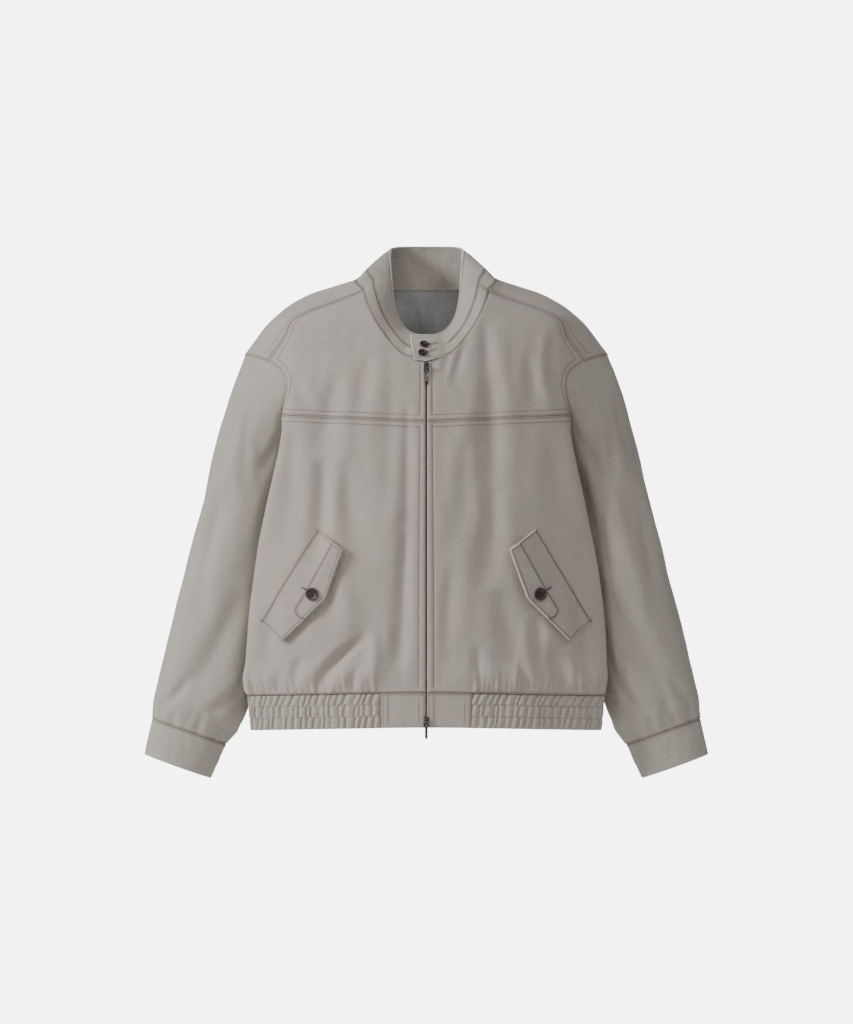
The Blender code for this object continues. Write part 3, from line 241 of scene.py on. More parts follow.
def asGirth(x, height, back):
    limits = (body["back"], body["backFold"]) if back else (0, body["fold"])
    return math.copysign(solveGirth(height, abs(x), 0, *limits)[0], x)


def onBody(kind):
    return [(asGirth(x0, h0, back), h0, asGirth(x1, h1, back), h1, *shape)
            for back, face in ((False, "front"), (True, "back"))
            for x0, h0, x1, h1, *shape in folds[face + kind]]


troughRows, creaseRows = onBody("Troughs"), onBody("Creases")
creaseRows += folds["sideCreases"]
# the other side has nearly the same creases, shifted a little
creaseRows += [(-g0 - 6, h0 - 14, -g1 + 5, h1 - 9, -bend, width, depth * 0.9)
               for g0, h0, g1, h1, bend, width, depth in folds["sideCreases"]]


def flatPoints(girth, height):
    return np.stack((girth, height, 0 * girth), axis=-1)


def bodyRelief(girth, height):
    turn = np.mod(np.asarray(girth) + body["back"], 2 * body["back"]) - body["back"]
    relief = creaseDrop(turn, height, creaseRows)
    for *ends, width, depth in troughRows:
        share, across = alongFold(turn, height, *ends)
        relief = relief - depth * np.sin(np.pi * np.clip(share, 0, 1)) ** 0.7 * np.exp(-(across / width) ** 2)
    for size, grain, seed in folds["waves"]:
        relief = relief + size * noiseAt(flatPoints(turn, height), grain, seed)
    keep = folds["placketKeep"]
    return relief * np.clip((np.abs(turn) - keep) / keep, 0, 1)


def bodyPoints(girth, height, lift=0.0):
    girth, height = flatArrays(girth, height)
    move = bodyRelief(girth, height) + lift
    return bodySmooth(girth, height) + bodyNormal(girth, height) * np.reshape(move, (-1, 1))


# distance down the shoulder ridge, so that cloth is measured evenly over the shoulder
riseHeights = np.linspace(30, -680, 356)
ridgeX = smoothAt(sectionHeights, sectionShapes, riseHeights)[:, 3]
ridgeSteps = np.where(riseHeights[1:] > -98, np.hypot(np.diff(ridgeX), 2.0), 2.0)
riseLevels = -np.concatenate(([0], np.cumsum(ridgeSteps)))


def riseOf(height):
    return np.interp(-np.asarray(height, float), -riseHeights, riseLevels)


def heightOf(rise):
    return np.interp(-np.asarray(rise, float), -riseLevels, riseHeights)


# seam lines

seams = {
    "gap": 0.34, "centreGap": 1.0, "yokeHeight": -198.0, "kinkHeight": -40.0,
    "neckFront": ((0, -106.5), (36, -97), (57, -75), (70, -57), (81, -37.5), (90, -16), (94.2, -1)),
    "neckBack": ((264, 11), (300, 18), (335, 16.5), (370, 13), (430, 8), (500, 5), (590, 4)),
    # depth, height; from the shoulder tip round the front
    "armhole": ((8, -98), (-14, -100), (-33, -108), (-48, -122), (-56, -142), (-54, -165),
                (-44, -188), (-33, -212), (-21, -238), (-8, -261), (8, -272), (24, -264),
                (39, -243), (50, -218), (57, -192), (59, -168), (57, -145), (50, -124),
                (39, -109), (25, -101)),
    "shoulderEnd": 2, "yokeEnd": 6, "underarm": 10,
    "hemHeight": -602.0, "hemDrop": 6.0, "bandHeight": 52.0, "plainBand": 58.0,
}
armholeKeys = len(seams["armhole"])


def pairs(girth, height):
    girth, height = np.broadcast_arrays(np.atleast_1d(girth), np.atleast_1d(height))
    return np.stack((girth, height), axis=1).astype(float)


def hemHeight(girth):
    return seams["hemHeight"] - seams["hemDrop"] * np.sin(np.pi * girth / body["back"]) ** 2


def hemPairs(girth):
    return pairs(girth, hemHeight(girth))


def halfGirth(girth):
    girth = np.abs(girth)
    return np.where(girth > body["back"], 2 * body["back"] - girth, girth)


def centreGirth(height, x=None):
    foldX = smoothAt(sectionHeights, sectionShapes, height)[:, 1]
    return body["fold"] * (seams["centreGap"] if x is None else x) / foldX


def armholeAt(place):
    # girth and height of the armhole seam at places counted in table rows
    side = np.array(seams["armhole"], float)
    wrapped = np.concatenate((side[-3:], side, side[:4]))
    point = smoothAt(np.arange(-3, armholeKeys + 4), wrapped, np.mod(place, armholeKeys))
    return pairs(solveGirth(point[:, 1], point[:, 0], 1, 0, body["back"]), point[:, 1])


def armholeRun(start, end):
    return armholeAt(np.linspace(start, end, int(abs(end - start) * 6) + 1))


neckFrontPath = smoothPath(seams["neckFront"], 40)
neckFrontPath[0, 0] = seams["centreGap"]
neckFront = pairs(solveGirth(neckFrontPath[:, 1], neckFrontPath[:, 0], 0, 0, body["side"]),
                  neckFrontPath[:, 1])
neckBack = smoothPath(np.concatenate((neckFront[-1:], np.array(seams["neckBack"], float))), 60)
neckBack[-1, 0] = body["back"]
kink = np.array((body["fold"], seams["kinkHeight"]))
shoulderTip = armholeAt(seams["shoulderEnd"])[0]
shoulderLine = np.concatenate((np.linspace(neckFront[-1], kink, 12),
                               np.linspace(kink, shoulderTip, 12)[1:]))
yokeLine = np.linspace((centreGirth(seams["yokeHeight"])[0], seams["yokeHeight"]),
                       armholeAt(seams["yokeEnd"])[0], 30)
hemStart = centreGirth(seams["hemHeight"])[0]
hemLine = hemPairs(np.linspace(hemStart, body["side"], 120))
underarmPoint = armholeAt(seams["underarm"])[0]
sideLine = np.linspace(hemLine[-1], underarmPoint, 60)


def centreLine(top, bottom):
    heights = np.linspace(top, bottom, int(abs(top - bottom) / 4) + 1)
    return pairs(centreGirth(heights), heights)


def farSide(line):
    return np.stack((2 * body["back"] - line[:, 0], line[:, 1]), axis=1)


# stitch rows lie this far in from a seam and from a free edge, and a placket's lies further in
rowNear, rowFar, rimRow, placketShift = 2.2, 8.6, 3.2, 6.2
placketRow = rowNear + placketShift
farAway = 30.0  # distances are measured up to this
markNames = ("seamOne", "seamTwo", "rim")


# materials

def addNode(tree, kind, vector=None, **values):
    # names with a capital are inputs, with _ for a space; the others are settings of the node
    made = tree.nodes.new("ShaderNode" + kind)
    for key, value in values.items():
        if key[0].isupper():
            made.inputs[key.replace("_", " ")].default_value = value
        else:
            setattr(made, key, value)
    if vector is not None:
        tree.links.new(vector, made.inputs["Vector"])
    return made


def mathNode(tree, operation, *values):
    made = addNode(tree, "Math", operation=operation)
    for slot, value in enumerate(values):
        if isinstance(value, (int, float)):
            made.inputs[slot].default_value = value
        else:
            tree.links.new(value, made.inputs[slot])
    return made.outputs[0]


def colourMix(tree, share, first, second):
    made = addNode(tree, "Mix", data_type="RGBA")
    for slot, value in ((0, share), (6, first), (7, second)):
        if isinstance(value, tuple):
            made.inputs[slot].default_value = (*value, 1.0)
        else:
            tree.links.new(value, made.inputs[slot])
    return made.outputs[2]


def newMaterial(name, **surface):
    material = bpy.data.materials.new(name)
    material.use_nodes = True
    shader = material.node_tree.nodes["Principled BSDF"]
    for key, value in surface.items():
        shader.inputs[key.replace("_", " ")].default_value = value
    return material, material.node_tree, shader


def connect(tree, shader, colour, height, depth, rough):
    bump = addNode(tree, "Bump", Distance=depth * mm)
    for source, socket in ((colour, shader.inputs["Base Color"]), (rough, shader.inputs["Roughness"]),
                           (height, bump.inputs["Height"]), (bump.outputs[0], shader.inputs["Normal"])):
        if source is not None:
            tree.links.new(source, socket)


# distance between the bands of a wave texture of scale 1
diagonalWave, straightWave = 0.444, 0.314
twillLook = {
    "dark": (0.380, 0.344, 0.306), "light": (0.478, 0.434, 0.388), "yarnDark": (0.24, 0.216, 0.192),
    "warm": (0.470, 0.400, 0.355), "warmShare": 0.5, "warmSize": 1.6, "warmContrast": (3.0, -1.2),
    "fleck": 0.27, "sheen": 0.22, "sheenRoughness": 0.45, "gloss": 0.25, "roughness": 0.80,
    "roughSpread": 0.12,
    "twillPitch": 0.85, "twillWander": 0.6, "yarn": 1.1, "mottle": 9.0, "cloud": 70.0, "slub": 2.4,
    # how much mottle, cloud and slub lighten the cloth, and what evens that out
    "uneven": (0.6, 0.6, 1.5), "level": -0.85, "fleckShares": (0.6, 0.4),
    "twillRelief": 0.12, "yarnRelief": 0.16, "mottleRelief": 0.5, "slubRelief": 0.22,
    # stitch rows are painted darker: painted shade in their grooves
    "rowWidth": 0.5, "rowShade": 0.14, "rowColour": (0.16, 0.14, 0.12), "rowRelief": 0.25,
    # seams are painted near black: painted shade in the crevice between two pieces
    "seamWidth": 0.75, "seamShade": 0.6, "softSeamShade": 0.2, "seamShadeColour": (0.07, 0.06, 0.052),
    # free edges are painted paler: edge wear and a painted highlight on the rolled edge
    "rimWidth": 1.3, "rimShare": 0.72, "rimWearAndHighlight": (0.68, 0.66, 0.63),
}


def clothMaterial(name, **changes):
    look = dict(twillLook, **changes)
    material, tree, shader = newMaterial(name, Sheen_Weight=look["sheen"],
                                         Sheen_Roughness=look["sheenRoughness"],
                                         Specular_IOR_Level=look["gloss"])

    def compute(operation, *values):
        return mathNode(tree, operation, *values)

    def bell(source, middle, width):
        away = compute("DIVIDE", compute("SUBTRACT", source, middle), width)
        return compute("POWER", 0.5, compute("MULTIPLY", away, away))

    def grain(size, detail, source):
        return addNode(tree, "TexNoise", source, Scale=1 / (size * mm), Detail=detail).outputs["Fac"]

    def weighted(start, *pairs):
        for source, weight in pairs:
            start = compute("MULTIPLY_ADD", source, weight, start)
        return start

    uv = addNode(tree, "UVMap", uv_map="cloth").outputs[0]
    place = addNode(tree, "TexCoord").outputs["Object"]
    weave = addNode(tree, "TexWave", uv, wave_type="BANDS", bands_direction="DIAGONAL",
                    Distortion=look["twillWander"],
                    Detail_Scale=2.0, Scale=diagonalWave / (look["twillPitch"] * mm)).outputs["Fac"]
    yarn, mottle, cloud, slub = (grain(look[key], detail, source) for key, detail, source in (
        ("yarn", 2, uv), ("mottle", 3, place), ("cloud", 2, place), ("slub", 2, place)))
    seamOne, seamTwo, rim = (addNode(tree, "Attribute", attribute_name=key).outputs["Fac"]
                             for key in markNames)
    # painted shade in the grooves beside the stitch rows
    groove = bell(seamTwo, rowFar, look["rowWidth"])
    for source in (seamOne, seamTwo):
        groove = compute("MAXIMUM", groove, bell(source, rowNear, look["rowWidth"]))
    # a dark line painted along each seam: painted shade in its crevice
    paintedSeamShade = compute("MAXIMUM", compute("MULTIPLY", bell(seamOne, 0.0, look["seamWidth"]), look["seamShade"]),
                  compute("MULTIPLY", bell(seamTwo, 0.0, look["seamWidth"]), look["softSeamShade"]))
    drift = compute("MULTIPLY_ADD", grain(look["cloud"] * look["warmSize"], 3, place), *look["warmContrast"])
    drift.node.use_clamp = True
    variation = weighted(look["level"], *zip((mottle, cloud, slub), look["uneven"]))
    colour = colourMix(tree, variation, look["dark"], look["light"])
    for share, amount, layer in ((drift, "warmShare", "warm"),
                                 (weighted(0.0, *zip((yarn, weave), look["fleckShares"])), "fleck",
                                  "yarnDark"),
                                 (groove, "rowShade", "rowColour"),
                                 # paler free edges: edge wear and a painted highlight on the rolled edge
                                 (bell(rim, 0.0, look["rimWidth"]), "rimShare", "rimWearAndHighlight")):
        colour = colourMix(tree, compute("MULTIPLY", share, look[amount]), colour, look[layer])
    colour = colourMix(tree, paintedSeamShade, colour, look["seamShadeColour"])
    relief = weighted(0.0, (weave, look["twillRelief"]), (yarn, look["yarnRelief"]),
                      (mottle, look["mottleRelief"]),
                      (slub, look["slubRelief"]), (groove, -look["rowRelief"]))
    connect(tree, shader, colour, relief, 1.0, weighted(look["roughness"], (mottle, look["roughSpread"])))
    return material


twill = clothMaterial("stoneTwill")
# the sleeves, collar and elastic are a shade greener than the fronts
greener = {"dark": (0.377, 0.347, 0.304), "light": (0.474, 0.438, 0.385), "warmShare": 0.15}
coolTwill = clothMaterial("coolTwill", **greener)
# the collar facing is a lighter copy of the same twill: painted light on the shaded inside of the collar
litFacingTwill = clothMaterial("collarFacingTwillLit", dark=(0.46, 0.428, 0.382), light=(0.56, 0.523, 0.470),
                            warmShare=0.15)
# the flaps are a darker copy of the same twill: painted shade, with stronger painted shade at seams and
# stitch rows
shadedFlapTwill = clothMaterial("shadedFlapTwill", dark=(0.352, 0.320, 0.286), light=(0.445, 0.406, 0.365),
                          seamWidth=1.15,
                          seamShade=0.85, rimWidth=1.1, rimShare=0.15, rowWidth=0.65, rowShade=0.34)
ribTwill = clothMaterial("elasticTwill", **greener, fleck=0.28, mottle=6.0)
satin = clothMaterial(
    "liningSatin", dark=(0.45, 0.452, 0.456), light=(0.59, 0.592, 0.596), yarnDark=(0.21, 0.212, 0.215),
    fleck=0.1,
    warmShare=0.0, sheen=0.05, gloss=0.6, roughness=0.34, twillPitch=0.5, yarn=0.6, twillRelief=0.03,
    yarnRelief=0.03, mottleRelief=0.25, rowShade=0.3, rowColour=(0.12, 0.13, 0.15))


def trimMaterial(name, colours, textures, mixed, bump, contrast=None, rough=None, **surface):
    # mixed: the textures that make the colour; bump: texture, depth; rough: texture, spread, lowest
    material, tree, shader = newMaterial(name, **surface)
    place = addNode(tree, "TexCoord").outputs["Object"]
    made = [addNode(tree, kind, place, **values).outputs["Fac"] for kind, values in textures]
    share = made[mixed[0]] if len(mixed) == 1 else mathNode(tree, "MULTIPLY", *made)
    if contrast:
        share = mathNode(tree, "MULTIPLY_ADD", share, *contrast)
        share.node.use_clamp = True
    roughness = mathNode(tree, "MULTIPLY_ADD", made[rough[0]], *rough[1:]) if rough else None
    connect(tree, shader, colourMix(tree, share, *colours), made[bump[0]], bump[1], roughness)
    return material


twist = (("TexWave", {"wave_type": "BANDS", "bands_direction": "DIAGONAL", "Scale": 900}),
         ("TexNoise", {"Scale": 160}))
# real stitches, painted near black so that they also stand in for the painted shade of stitch holes and
# buttonhole slits
thread, holeThread = (trimMaterial(name, colours, twist, (1,), (0, 0.1), Roughness=0.6) for name, colours in (
    ("sewingThread", ((0.060, 0.050, 0.042), (0.12, 0.102, 0.086))),
    ("buttonholeThread", ((0.05, 0.043, 0.037), (0.10, 0.088, 0.076)))))
horn = trimMaterial(
    "buttonHorn", ((0.014, 0.009, 0.007), (0.085, 0.055, 0.040)),
    (("TexWave", {"wave_type": "RINGS", "rings_direction": "X", "Scale": 45, "Distortion": 6, "Detail": 3}),
     ("TexNoise", {"Scale": 260, "Detail": 4})),
    (0, 1), (1, 0.08), rough=(1, 0.25, 0.36), Coat_Weight=0.1, Coat_Roughness=0.3)
nickel = trimMaterial(
    "antiqueNickel", ((0.012, 0.011, 0.010), (0.42, 0.40, 0.37)),
    (("TexNoise", {"Scale": 650, "Detail": 5}), ("TexNoise", {"Scale": 2600})),
    (0,), (1, 0.08), contrast=(7.0, -3.4), rough=(0, 0.25, 0.2), Metallic=1.0)
tapeWeave = trimMaterial(
    "zipTapeWeave", ((0.12, 0.11, 0.10), (0.22, 0.205, 0.185)),
    (("TexWave", {"wave_type": "BANDS", "bands_direction": "Z", "Scale": straightWave / (1.1 * mm),
                  "Distortion": 1.5}),
     ("TexNoise", {"Scale": 700})),
    (0, 1), (0, 0.2), Roughness=0.75)
print("materials made")


# mesh helpers

stitchRuns = []  # each a pair of points and outward directions


def addObject(name, data):
    made = bpy.data.objects.new(name, data)
    bpy.context.scene.collection.objects.link(made)
    return made


def makeMesh(name, points, faces, material, uv=None, marks=None, sharp=48):
    mesh = bpy.data.meshes.new(name)
    mesh.from_pydata((np.asarray(points) * mm).tolist(), [], faces)
    mesh.shade_smooth()
    mesh.set_sharp_from_angle(angle=math.radians(sharp))
    mesh.materials.append(material)
    if uv is not None:
        layer = mesh.uv_layers.new(name="cloth")
        corners = np.zeros(len(mesh.loops), int)
        mesh.loops.foreach_get("vertex_index", corners)
        layer.data.foreach_set("uv", (np.asarray(uv)[corners] * mm).astype(np.float32).ravel())
    for key, values in (marks or {}).items():
        mesh.attributes.new(key, "FLOAT", "POINT").data.foreach_set("value", np.asarray(values, np.float32))
    return addObject(name, mesh)


def wallMarks(*outer):
    # the distances on an outer face; the inner face, which follows it, has none
    return {key: np.concatenate((values, np.full(np.shape(values), farAway)))
            for key, values in zip(markNames, outer)}


def leftOf(run):
    return unit(np.stack((-run[..., 1], run[..., 0]), axis=-1))


def inset(line, distance):
    ahead = unit(np.roll(line, -1, axis=0) - line)
    across = unit(ahead + unit(line - np.roll(line, 1, axis=0)))
    spread = np.maximum(0.5, np.abs((ahead * across).sum(axis=1)))
    return line + leftOf(across) * (distance / spread)[:, None]


partLength = 3000  # points are compared with an outline in parts of this length


def inParts(points, measure):
    return np.concatenate([measure(part) for part in np.array_split(points,
                                                                    max(1, len(points) // partLength))])


def inside(points, line):
    start, end = line[None], np.roll(line, -1, axis=0)[None]

    def crossings(part):
        x, y = part[:, 0:1], part[:, 1:2]
        crosses = (start[..., 1] > y) != (end[..., 1] > y)
        run = np.where(crosses, end[..., 1] - start[..., 1], 1)
        meet = start[..., 0] + (y - start[..., 1]) / run * (end[..., 0] - start[..., 0])
        return (crosses & (x < meet)).sum(axis=1) % 2 == 1

    return inParts(points, crossings)


def segmentDistance(points, starts, ends):
    if not len(starts):
        return np.full(len(points), farAway)
    run = (ends - starts)[None]
    squared = np.maximum((run ** 2).sum(-1), 1e-9)

    def nearest(part):
        offset = part[:, None] - starts[None]
        share = np.clip((offset * run).sum(-1) / squared, 0, 1)
        return np.sqrt((((offset - share[..., None] * run)) ** 2).sum(-1).min(axis=1))

    return np.minimum(inParts(points, nearest), farAway)


def resample(line, step):
    chord = runLengths(line)
    at = np.linspace(0, chord[-1], max(2, int(round(chord[-1] / step)) + 1))
    return np.stack([np.interp(at, chord, line[:, axis]) for axis in (0, 1)], axis=1)


# in each pair, how far from the edge or seam and how wide or deep
form = {
    "welt": ((0.6, 11, 2), (0.4, 4.2, 1.6)), "weltPucker": (0.45, 7, 6), "edgeRoll": 1.4,
    "groove": (0.4, 0.8),
    "bead": (0.5, 1.4, 0.9), "beadGroove": (0.35, 0.8), "placketGroove": (0.9, 0.9),
    "placketFold": (0.35, 3.4, 2.4),
    "placketPoints": (1.1, 2.2, 3.3), "placketClear": (-0.9, 5.4), "stitchLift": 0.42, "stitchStep": 3.0,
}


def seamRelief(one, two, edge, rim):
    # folded allowances stand proud between rows; every edge rolls under, and free edges carry a bead
    depth, width = form["groove"]
    relief = -1.0 * rolled(edge, form["edgeRoll"]) - depth * (hump(two - rowNear, width)
                                                              + hump(two - rowFar, width))
    for distance, (high, reach, slope) in zip((two, one), form["welt"]):
        relief = relief + high * np.clip((reach - distance) / slope, 0, 1)
    high, place, width = form["bead"]
    depth, grooveWidth = form["beadGroove"]
    return relief + high * hump(rim - place, width) - depth * hump(rim - rimRow, grooveWidth)


def staggered(low, high, step):
    grid = np.stack(np.meshgrid(np.arange(low[0], high[0], step), np.arange(low[1], high[1], step)), -1)
    grid[1::2, :, 0] += step / 2
    return grid.reshape(-1, 2)


def clothPanel(name, sides, material=twill, spacing=4.2, edgeStep=3.6, lift=0.0, thickness=1.5,
               relief=None, depths=(0.8, 2.4), finer=None):
    # sides: (line, rows) run end to end anticlockwise; rows is 0, 1 or 2 stitch rows, "rim" or "placket"
    # finer: (spacing, height) meshes the cloth below that height more closely
    runs = [(resample(np.stack((line[:, 0], riseOf(line[:, 1])), axis=1), edgeStep), rows)
            for line, rows in sides]
    edge = inset(np.concatenate([flat[:-1] for flat, _ in runs]), seams["gap"] / 2)
    after = np.roll(edge, -1, axis=0)
    groups = {0: [], 1: [], 2: [], "rim": [], "placket": []}
    starts, count = [], 0
    for flat, rows in runs:
        starts.append((count, len(flat) - 1, rows))
        groups[rows] += range(count, count + len(flat) - 1)
        count += len(flat) - 1

    def fromEdges(flat, key):
        return segmentDistance(flat, edge[groups[key]], after[groups[key]])

    def clear(points, distance):
        points = points[inside(points, edge)]
        return points[segmentDistance(points, edge, after) > distance]

    def distances(flat):
        one, two, rim, placket = (fromEdges(flat, key) for key in (1, 2, "rim", "placket"))
        sewn = np.minimum(np.maximum(placket - placketShift, 1.0), np.maximum(rim - 1.0, 1.0))
        rows = np.minimum(one, rowNear + np.minimum(np.abs(rim - rimRow), np.abs(placket - placketRow)))
        return np.minimum(one, sewn), two, rim, segmentDistance(flat, edge, after), placket, rows

    def place(flat, extra, fields=None):
        one, two, rim, near, placket, _ = fields or distances(flat)
        height = heightOf(flat[:, 1])
        move = lift + extra + seamRelief(one, two, near, rim)
        depth, width = form["placketGroove"]
        high, beside, foldWidth = form["placketFold"]
        across = placket - placketRow
        move = move - depth * hump(across, width) + high * hump(across + beside, foldWidth)
        if relief is not None:
            move = move + relief(flat[:, 0], height)
        size, grain, reach = form["weltPucker"]
        pucker = size * noiseAt(flatPoints(*flat.T), grain, 3.1) * hump(np.minimum(one, two) - grain, reach)
        return bodyPoints(flat[:, 0], height, move + pucker)

    low, high = edge.min(axis=0), edge.max(axis=0)
    grid, step = staggered(low, high, spacing), spacing
    if finer:
        step, top = finer[0], riseOf(finer[1])
        grid = np.concatenate((grid[grid[:, 1] > top + spacing / 2], staggered(low, (high[0], top), step)))
    grid = clear(grid, depths[-1] + min(step, spacing) * 0.55)
    loops = [clear(inset(edge, depth), depth * 0.85) for depth in depths]
    if groups["placket"]:
        # close rows of points on both sides of the stitched placket fold
        away = fromEdges(grid, "placket") - placketShift
        grid = grid[(away < form["placketClear"][0]) | (away > form["placketClear"][1])]
        for beyond in form["placketPoints"]:
            depth = placketShift + beyond
            loops.append(clear(inset(edge, depth)[groups["placket"]], depth * 0.85))
    flat = np.concatenate([edge, *loops, grid])
    result = delaunay_2d_cdt([Vector(point) for point in flat.tolist()], [], [list(range(len(edge)))], 1,
                             1e-5)
    source = [index[0] for index in result[3]]
    faces = [tuple(source[corner] for corner in face) for face in result[2]]
    total = len(flat)
    fields = distances(flat)
    faces += [tuple(total + corner for corner in reversed(face)) for face in faces]
    for index in range(len(edge)):
        following = (index + 1) % len(edge)
        faces.append((index, total + index, total + following, following))
    made = makeMesh(name, np.concatenate((place(flat, 0.0, fields), place(flat, -thickness, fields))), faces,
                    material,
                    np.concatenate((flat, flat)), wallMarks(fields[5], fields[1], fields[2]))
    offsets = {0: (), 1: (rowNear,), 2: (rowNear, rowFar), "rim": (rimRow,), "placket": (placketRow,)}
    for start, length, rows in starts:
        run = edge[np.arange(start, start + length + 1) % len(edge)]
        for offset in offsets[rows]:
            row = clear(run + leftOf(np.gradient(run, axis=0)) * offset, offset * 0.9)
            if len(row) > 2:
                row = resample(row, form["stitchStep"])
                stitchRuns.append((place(row, form["stitchLift"]),
                                   bodyNormal(row[:, 0], heightOf(row[:, 1]))))
    return made


def toRight(sides):
    # the wearer's right: every side mirrored, in reverse, so the outline stays anticlockwise
    return [(line[::-1] * (-1, 1), rows) for line, rows in reversed(sides)]


bothSides = (("Left", 1, list), ("Right", -1, toRight))


def dress(piece, nodes):
    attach(piece, "jacket")
    if nodes:
        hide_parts(*nodes)


# body panels

gathers = {"seed": 5, "spacing": 7.4, "height": (1.5, 4.0), "width": (1.6, 3.0), "rise": (11, 38),
           "finer": (2.4, -545.0), "startEase": (4, 2), "jitter": 2.4, "lean": 3, "top": 60,
           "pinch": (0.25, 7),
           "blouson": (3.4, 26, 18), "plainWidth": 20}
gatherRandom = np.random.default_rng(gathers["seed"])
gatherPlaces = np.arange(seams["plainBand"] + gathers["startEase"][0],
                         2 * body["back"] - seams["plainBand"] - gathers["startEase"][1], gathers["spacing"])
gatherPlaces = gatherPlaces + gatherRandom.uniform(-gathers["jitter"], gathers["jitter"], len(gatherPlaces))
gatherRows = [(place, *(gatherRandom.uniform(*gathers[key]) for key in ("height", "width", "rise")),
               gatherRandom.uniform(-gathers["lean"], gathers["lean"])) for place in gatherPlaces]


def gatherRelief(girth, height):
    turn = np.mod(girth, 2 * body["back"])
    above = height - hemHeight(turn)
    relief = np.zeros(np.shape(turn))
    close = above < gathers["top"]
    near, least = above[close], gathers["pinch"][0]
    pinch = least + (1 - least) * np.clip(near / gathers["pinch"][1], 0, 1)
    for place, size, width, rise, lean in gatherRows:
        across = (turn[close] - place - lean * near / rise) / (width * (1 + near / gathers["top"]))
        relief[close] += size * pinch * hump(across, 1) * hump(np.clip(near, 0, None), rise)
    size, middle, width = gathers["blouson"]
    plain = gathers["plainWidth"]
    return (relief + size * hump(above - middle, width)) * np.clip((halfGirth(turn) - plain) / plain, 0, 1)


frontSides = [
    (centreLine(seams["yokeHeight"], seams["hemHeight"]), "placket"),
    (hemLine, 1),
    (sideLine, 0),
    (armholeRun(seams["underarm"], seams["yokeEnd"]), 1),
    (yokeLine[::-1], 2)]
yokeSides = [
    (centreLine(neckFront[0, 1], seams["yokeHeight"]), "placket"),
    (yokeLine, 2),
    (armholeRun(seams["yokeEnd"], seams["shoulderEnd"]), 2),
    (shoulderLine[::-1], 2),
    (neckFront[::-1], 0)]
for side, _, turned in bothSides:
    front = clothPanel("front" + side, turned(frontSides), relief=gatherRelief, finer=gathers["finer"])
    dress(front, ["front_" + side.lower()])
    yoke = clothPanel("yoke" + side, turned(yokeSides))
    dress(yoke, ["yoke_" + side.lower()])

backArmhole = armholeRun(seams["underarm"], armholeKeys + seams["shoulderEnd"])
backHem = hemPairs(np.linspace(body["side"], 2 * body["back"] - body["side"], 240))
backSides = [
    (backHem, 1),
    (farSide(sideLine), 0),
    (farSide(backArmhole), 1),
    (farSide(shoulderLine)[::-1], 2),
    (farSide(neckBack), 1),
    (neckBack[::-1], 1),
    (shoulderLine, 2),
    (backArmhole[::-1], 1),
    (sideLine[::-1], 0)]
back = clothPanel("backPanel", backSides, relief=gatherRelief, spacing=4.8, finer=gathers["finer"])
dress(back, ["back"])
print("body panels made")


# lining behind the neck

lining = {
    "edge": ((372, -20), (392, -60), (384, -150), (376, -280), (376, -590)), "drop": 0.8, "neckSteps": 31,
    "neckEase": 2.0, "ease": 5.0, "easeDrop": 50.0, "wave": (0.9, (26, 90, 20), 2.2),
    # x, height0, x, height1, bend, width, depth: soft satin folds
    "creases": ((16, 2, 34, -260, 6, 7, 3.4), (-34, -2, -16, -230, -5, 9, 3.2),
                (2, -10, -6, -330, 4, 11, -2.4),
                (50, 2, 40, -300, 4, 9, 3.0), (-58, -4, -52, -320, -4, 10, 3.0), (-12, 4, 8, -90, 3, 5, 2.2)),
}


def backGirth(x, height):
    return body["back"] - math.copysign(body["back"] - asGirth(abs(x), height, True), x)


liningRows = [(backGirth(x0, h0), h0, backGirth(x1, h1), h1, *shape)
              for x0, h0, x1, h1, *shape in lining["creases"]]


def liningRelief(girth, height):
    below = np.clip((seams["neckBack"][-1][1] - height) / lining["easeDrop"], 0, 1)
    ease = lining["neckEase"] + (lining["ease"] - lining["neckEase"]) * below
    size, grain, seed = lining["wave"]
    return -ease + below * (creaseDrop(girth, height, liningRows) + size
                            * noiseAt(flatPoints(girth, height), grain, seed))


liningNeck = neckBack[-lining["neckSteps"]:] - (0, lining["drop"])
liningSide = np.concatenate((liningNeck[:1], np.array(lining["edge"], float)))
liningHem = pairs(np.linspace(liningSide[-1, 0], 2 * body["back"] - liningSide[-1, 0], 60), liningSide[-1, 1])
liningSides = [(liningHem, 1), (farSide(liningSide)[::-1], 0), (farSide(liningNeck), 0),
               (liningNeck[::-1], 0),
               (liningSide, 0)]
backLining = clothPanel("backLining", liningSides, satin, lift=-1.6, thickness=0.8, relief=liningRelief,
                        spacing=6.0)
dress(backLining, ["back_lining"])
print("lining made")


# grids: sleeves, cuffs, collar and bands

def gridMesh(name, rows, material, uv, marks, around):
    # rows run round a closed section; around closes each row on itself, else the ends get faces
    rows = np.asarray(rows)
    count, columns = rows.shape[:2]
    index = np.arange(count * columns).reshape(count, columns)
    below = np.roll(index, -1, axis=0)
    quads = np.stack((index, np.roll(index, -1, axis=1), np.roll(below, -1, axis=1), below), axis=-1)
    faces = [tuple(quad) for quad in (quads if around else quads[:, :-1]).reshape(-1, 4).tolist()]
    if not around:
        for column, order in ((0, 1), (columns - 1, -1)):
            for row in range((count - 1) // 2):
                corners = index[(row, row + 1, count - 2 - row, count - 1 - row), column]
                face = list(dict.fromkeys(corners.tolist()))
                if len(face) > 2:
                    faces.append(tuple(face[::order]))
    flatMarks = {key: np.asarray(value).reshape(-1) for key, value in marks.items()}
    return makeMesh(name, rows.reshape(-1, 3), faces, material, np.asarray(uv).reshape(-1, 2), flatMarks)


def gridNormals(rows, around):
    across = np.roll(rows, -1, axis=1) - np.roll(rows, 1, axis=1) if around else np.gradient(rows, axis=1)
    return unit(np.cross(across, np.gradient(rows, axis=0)))


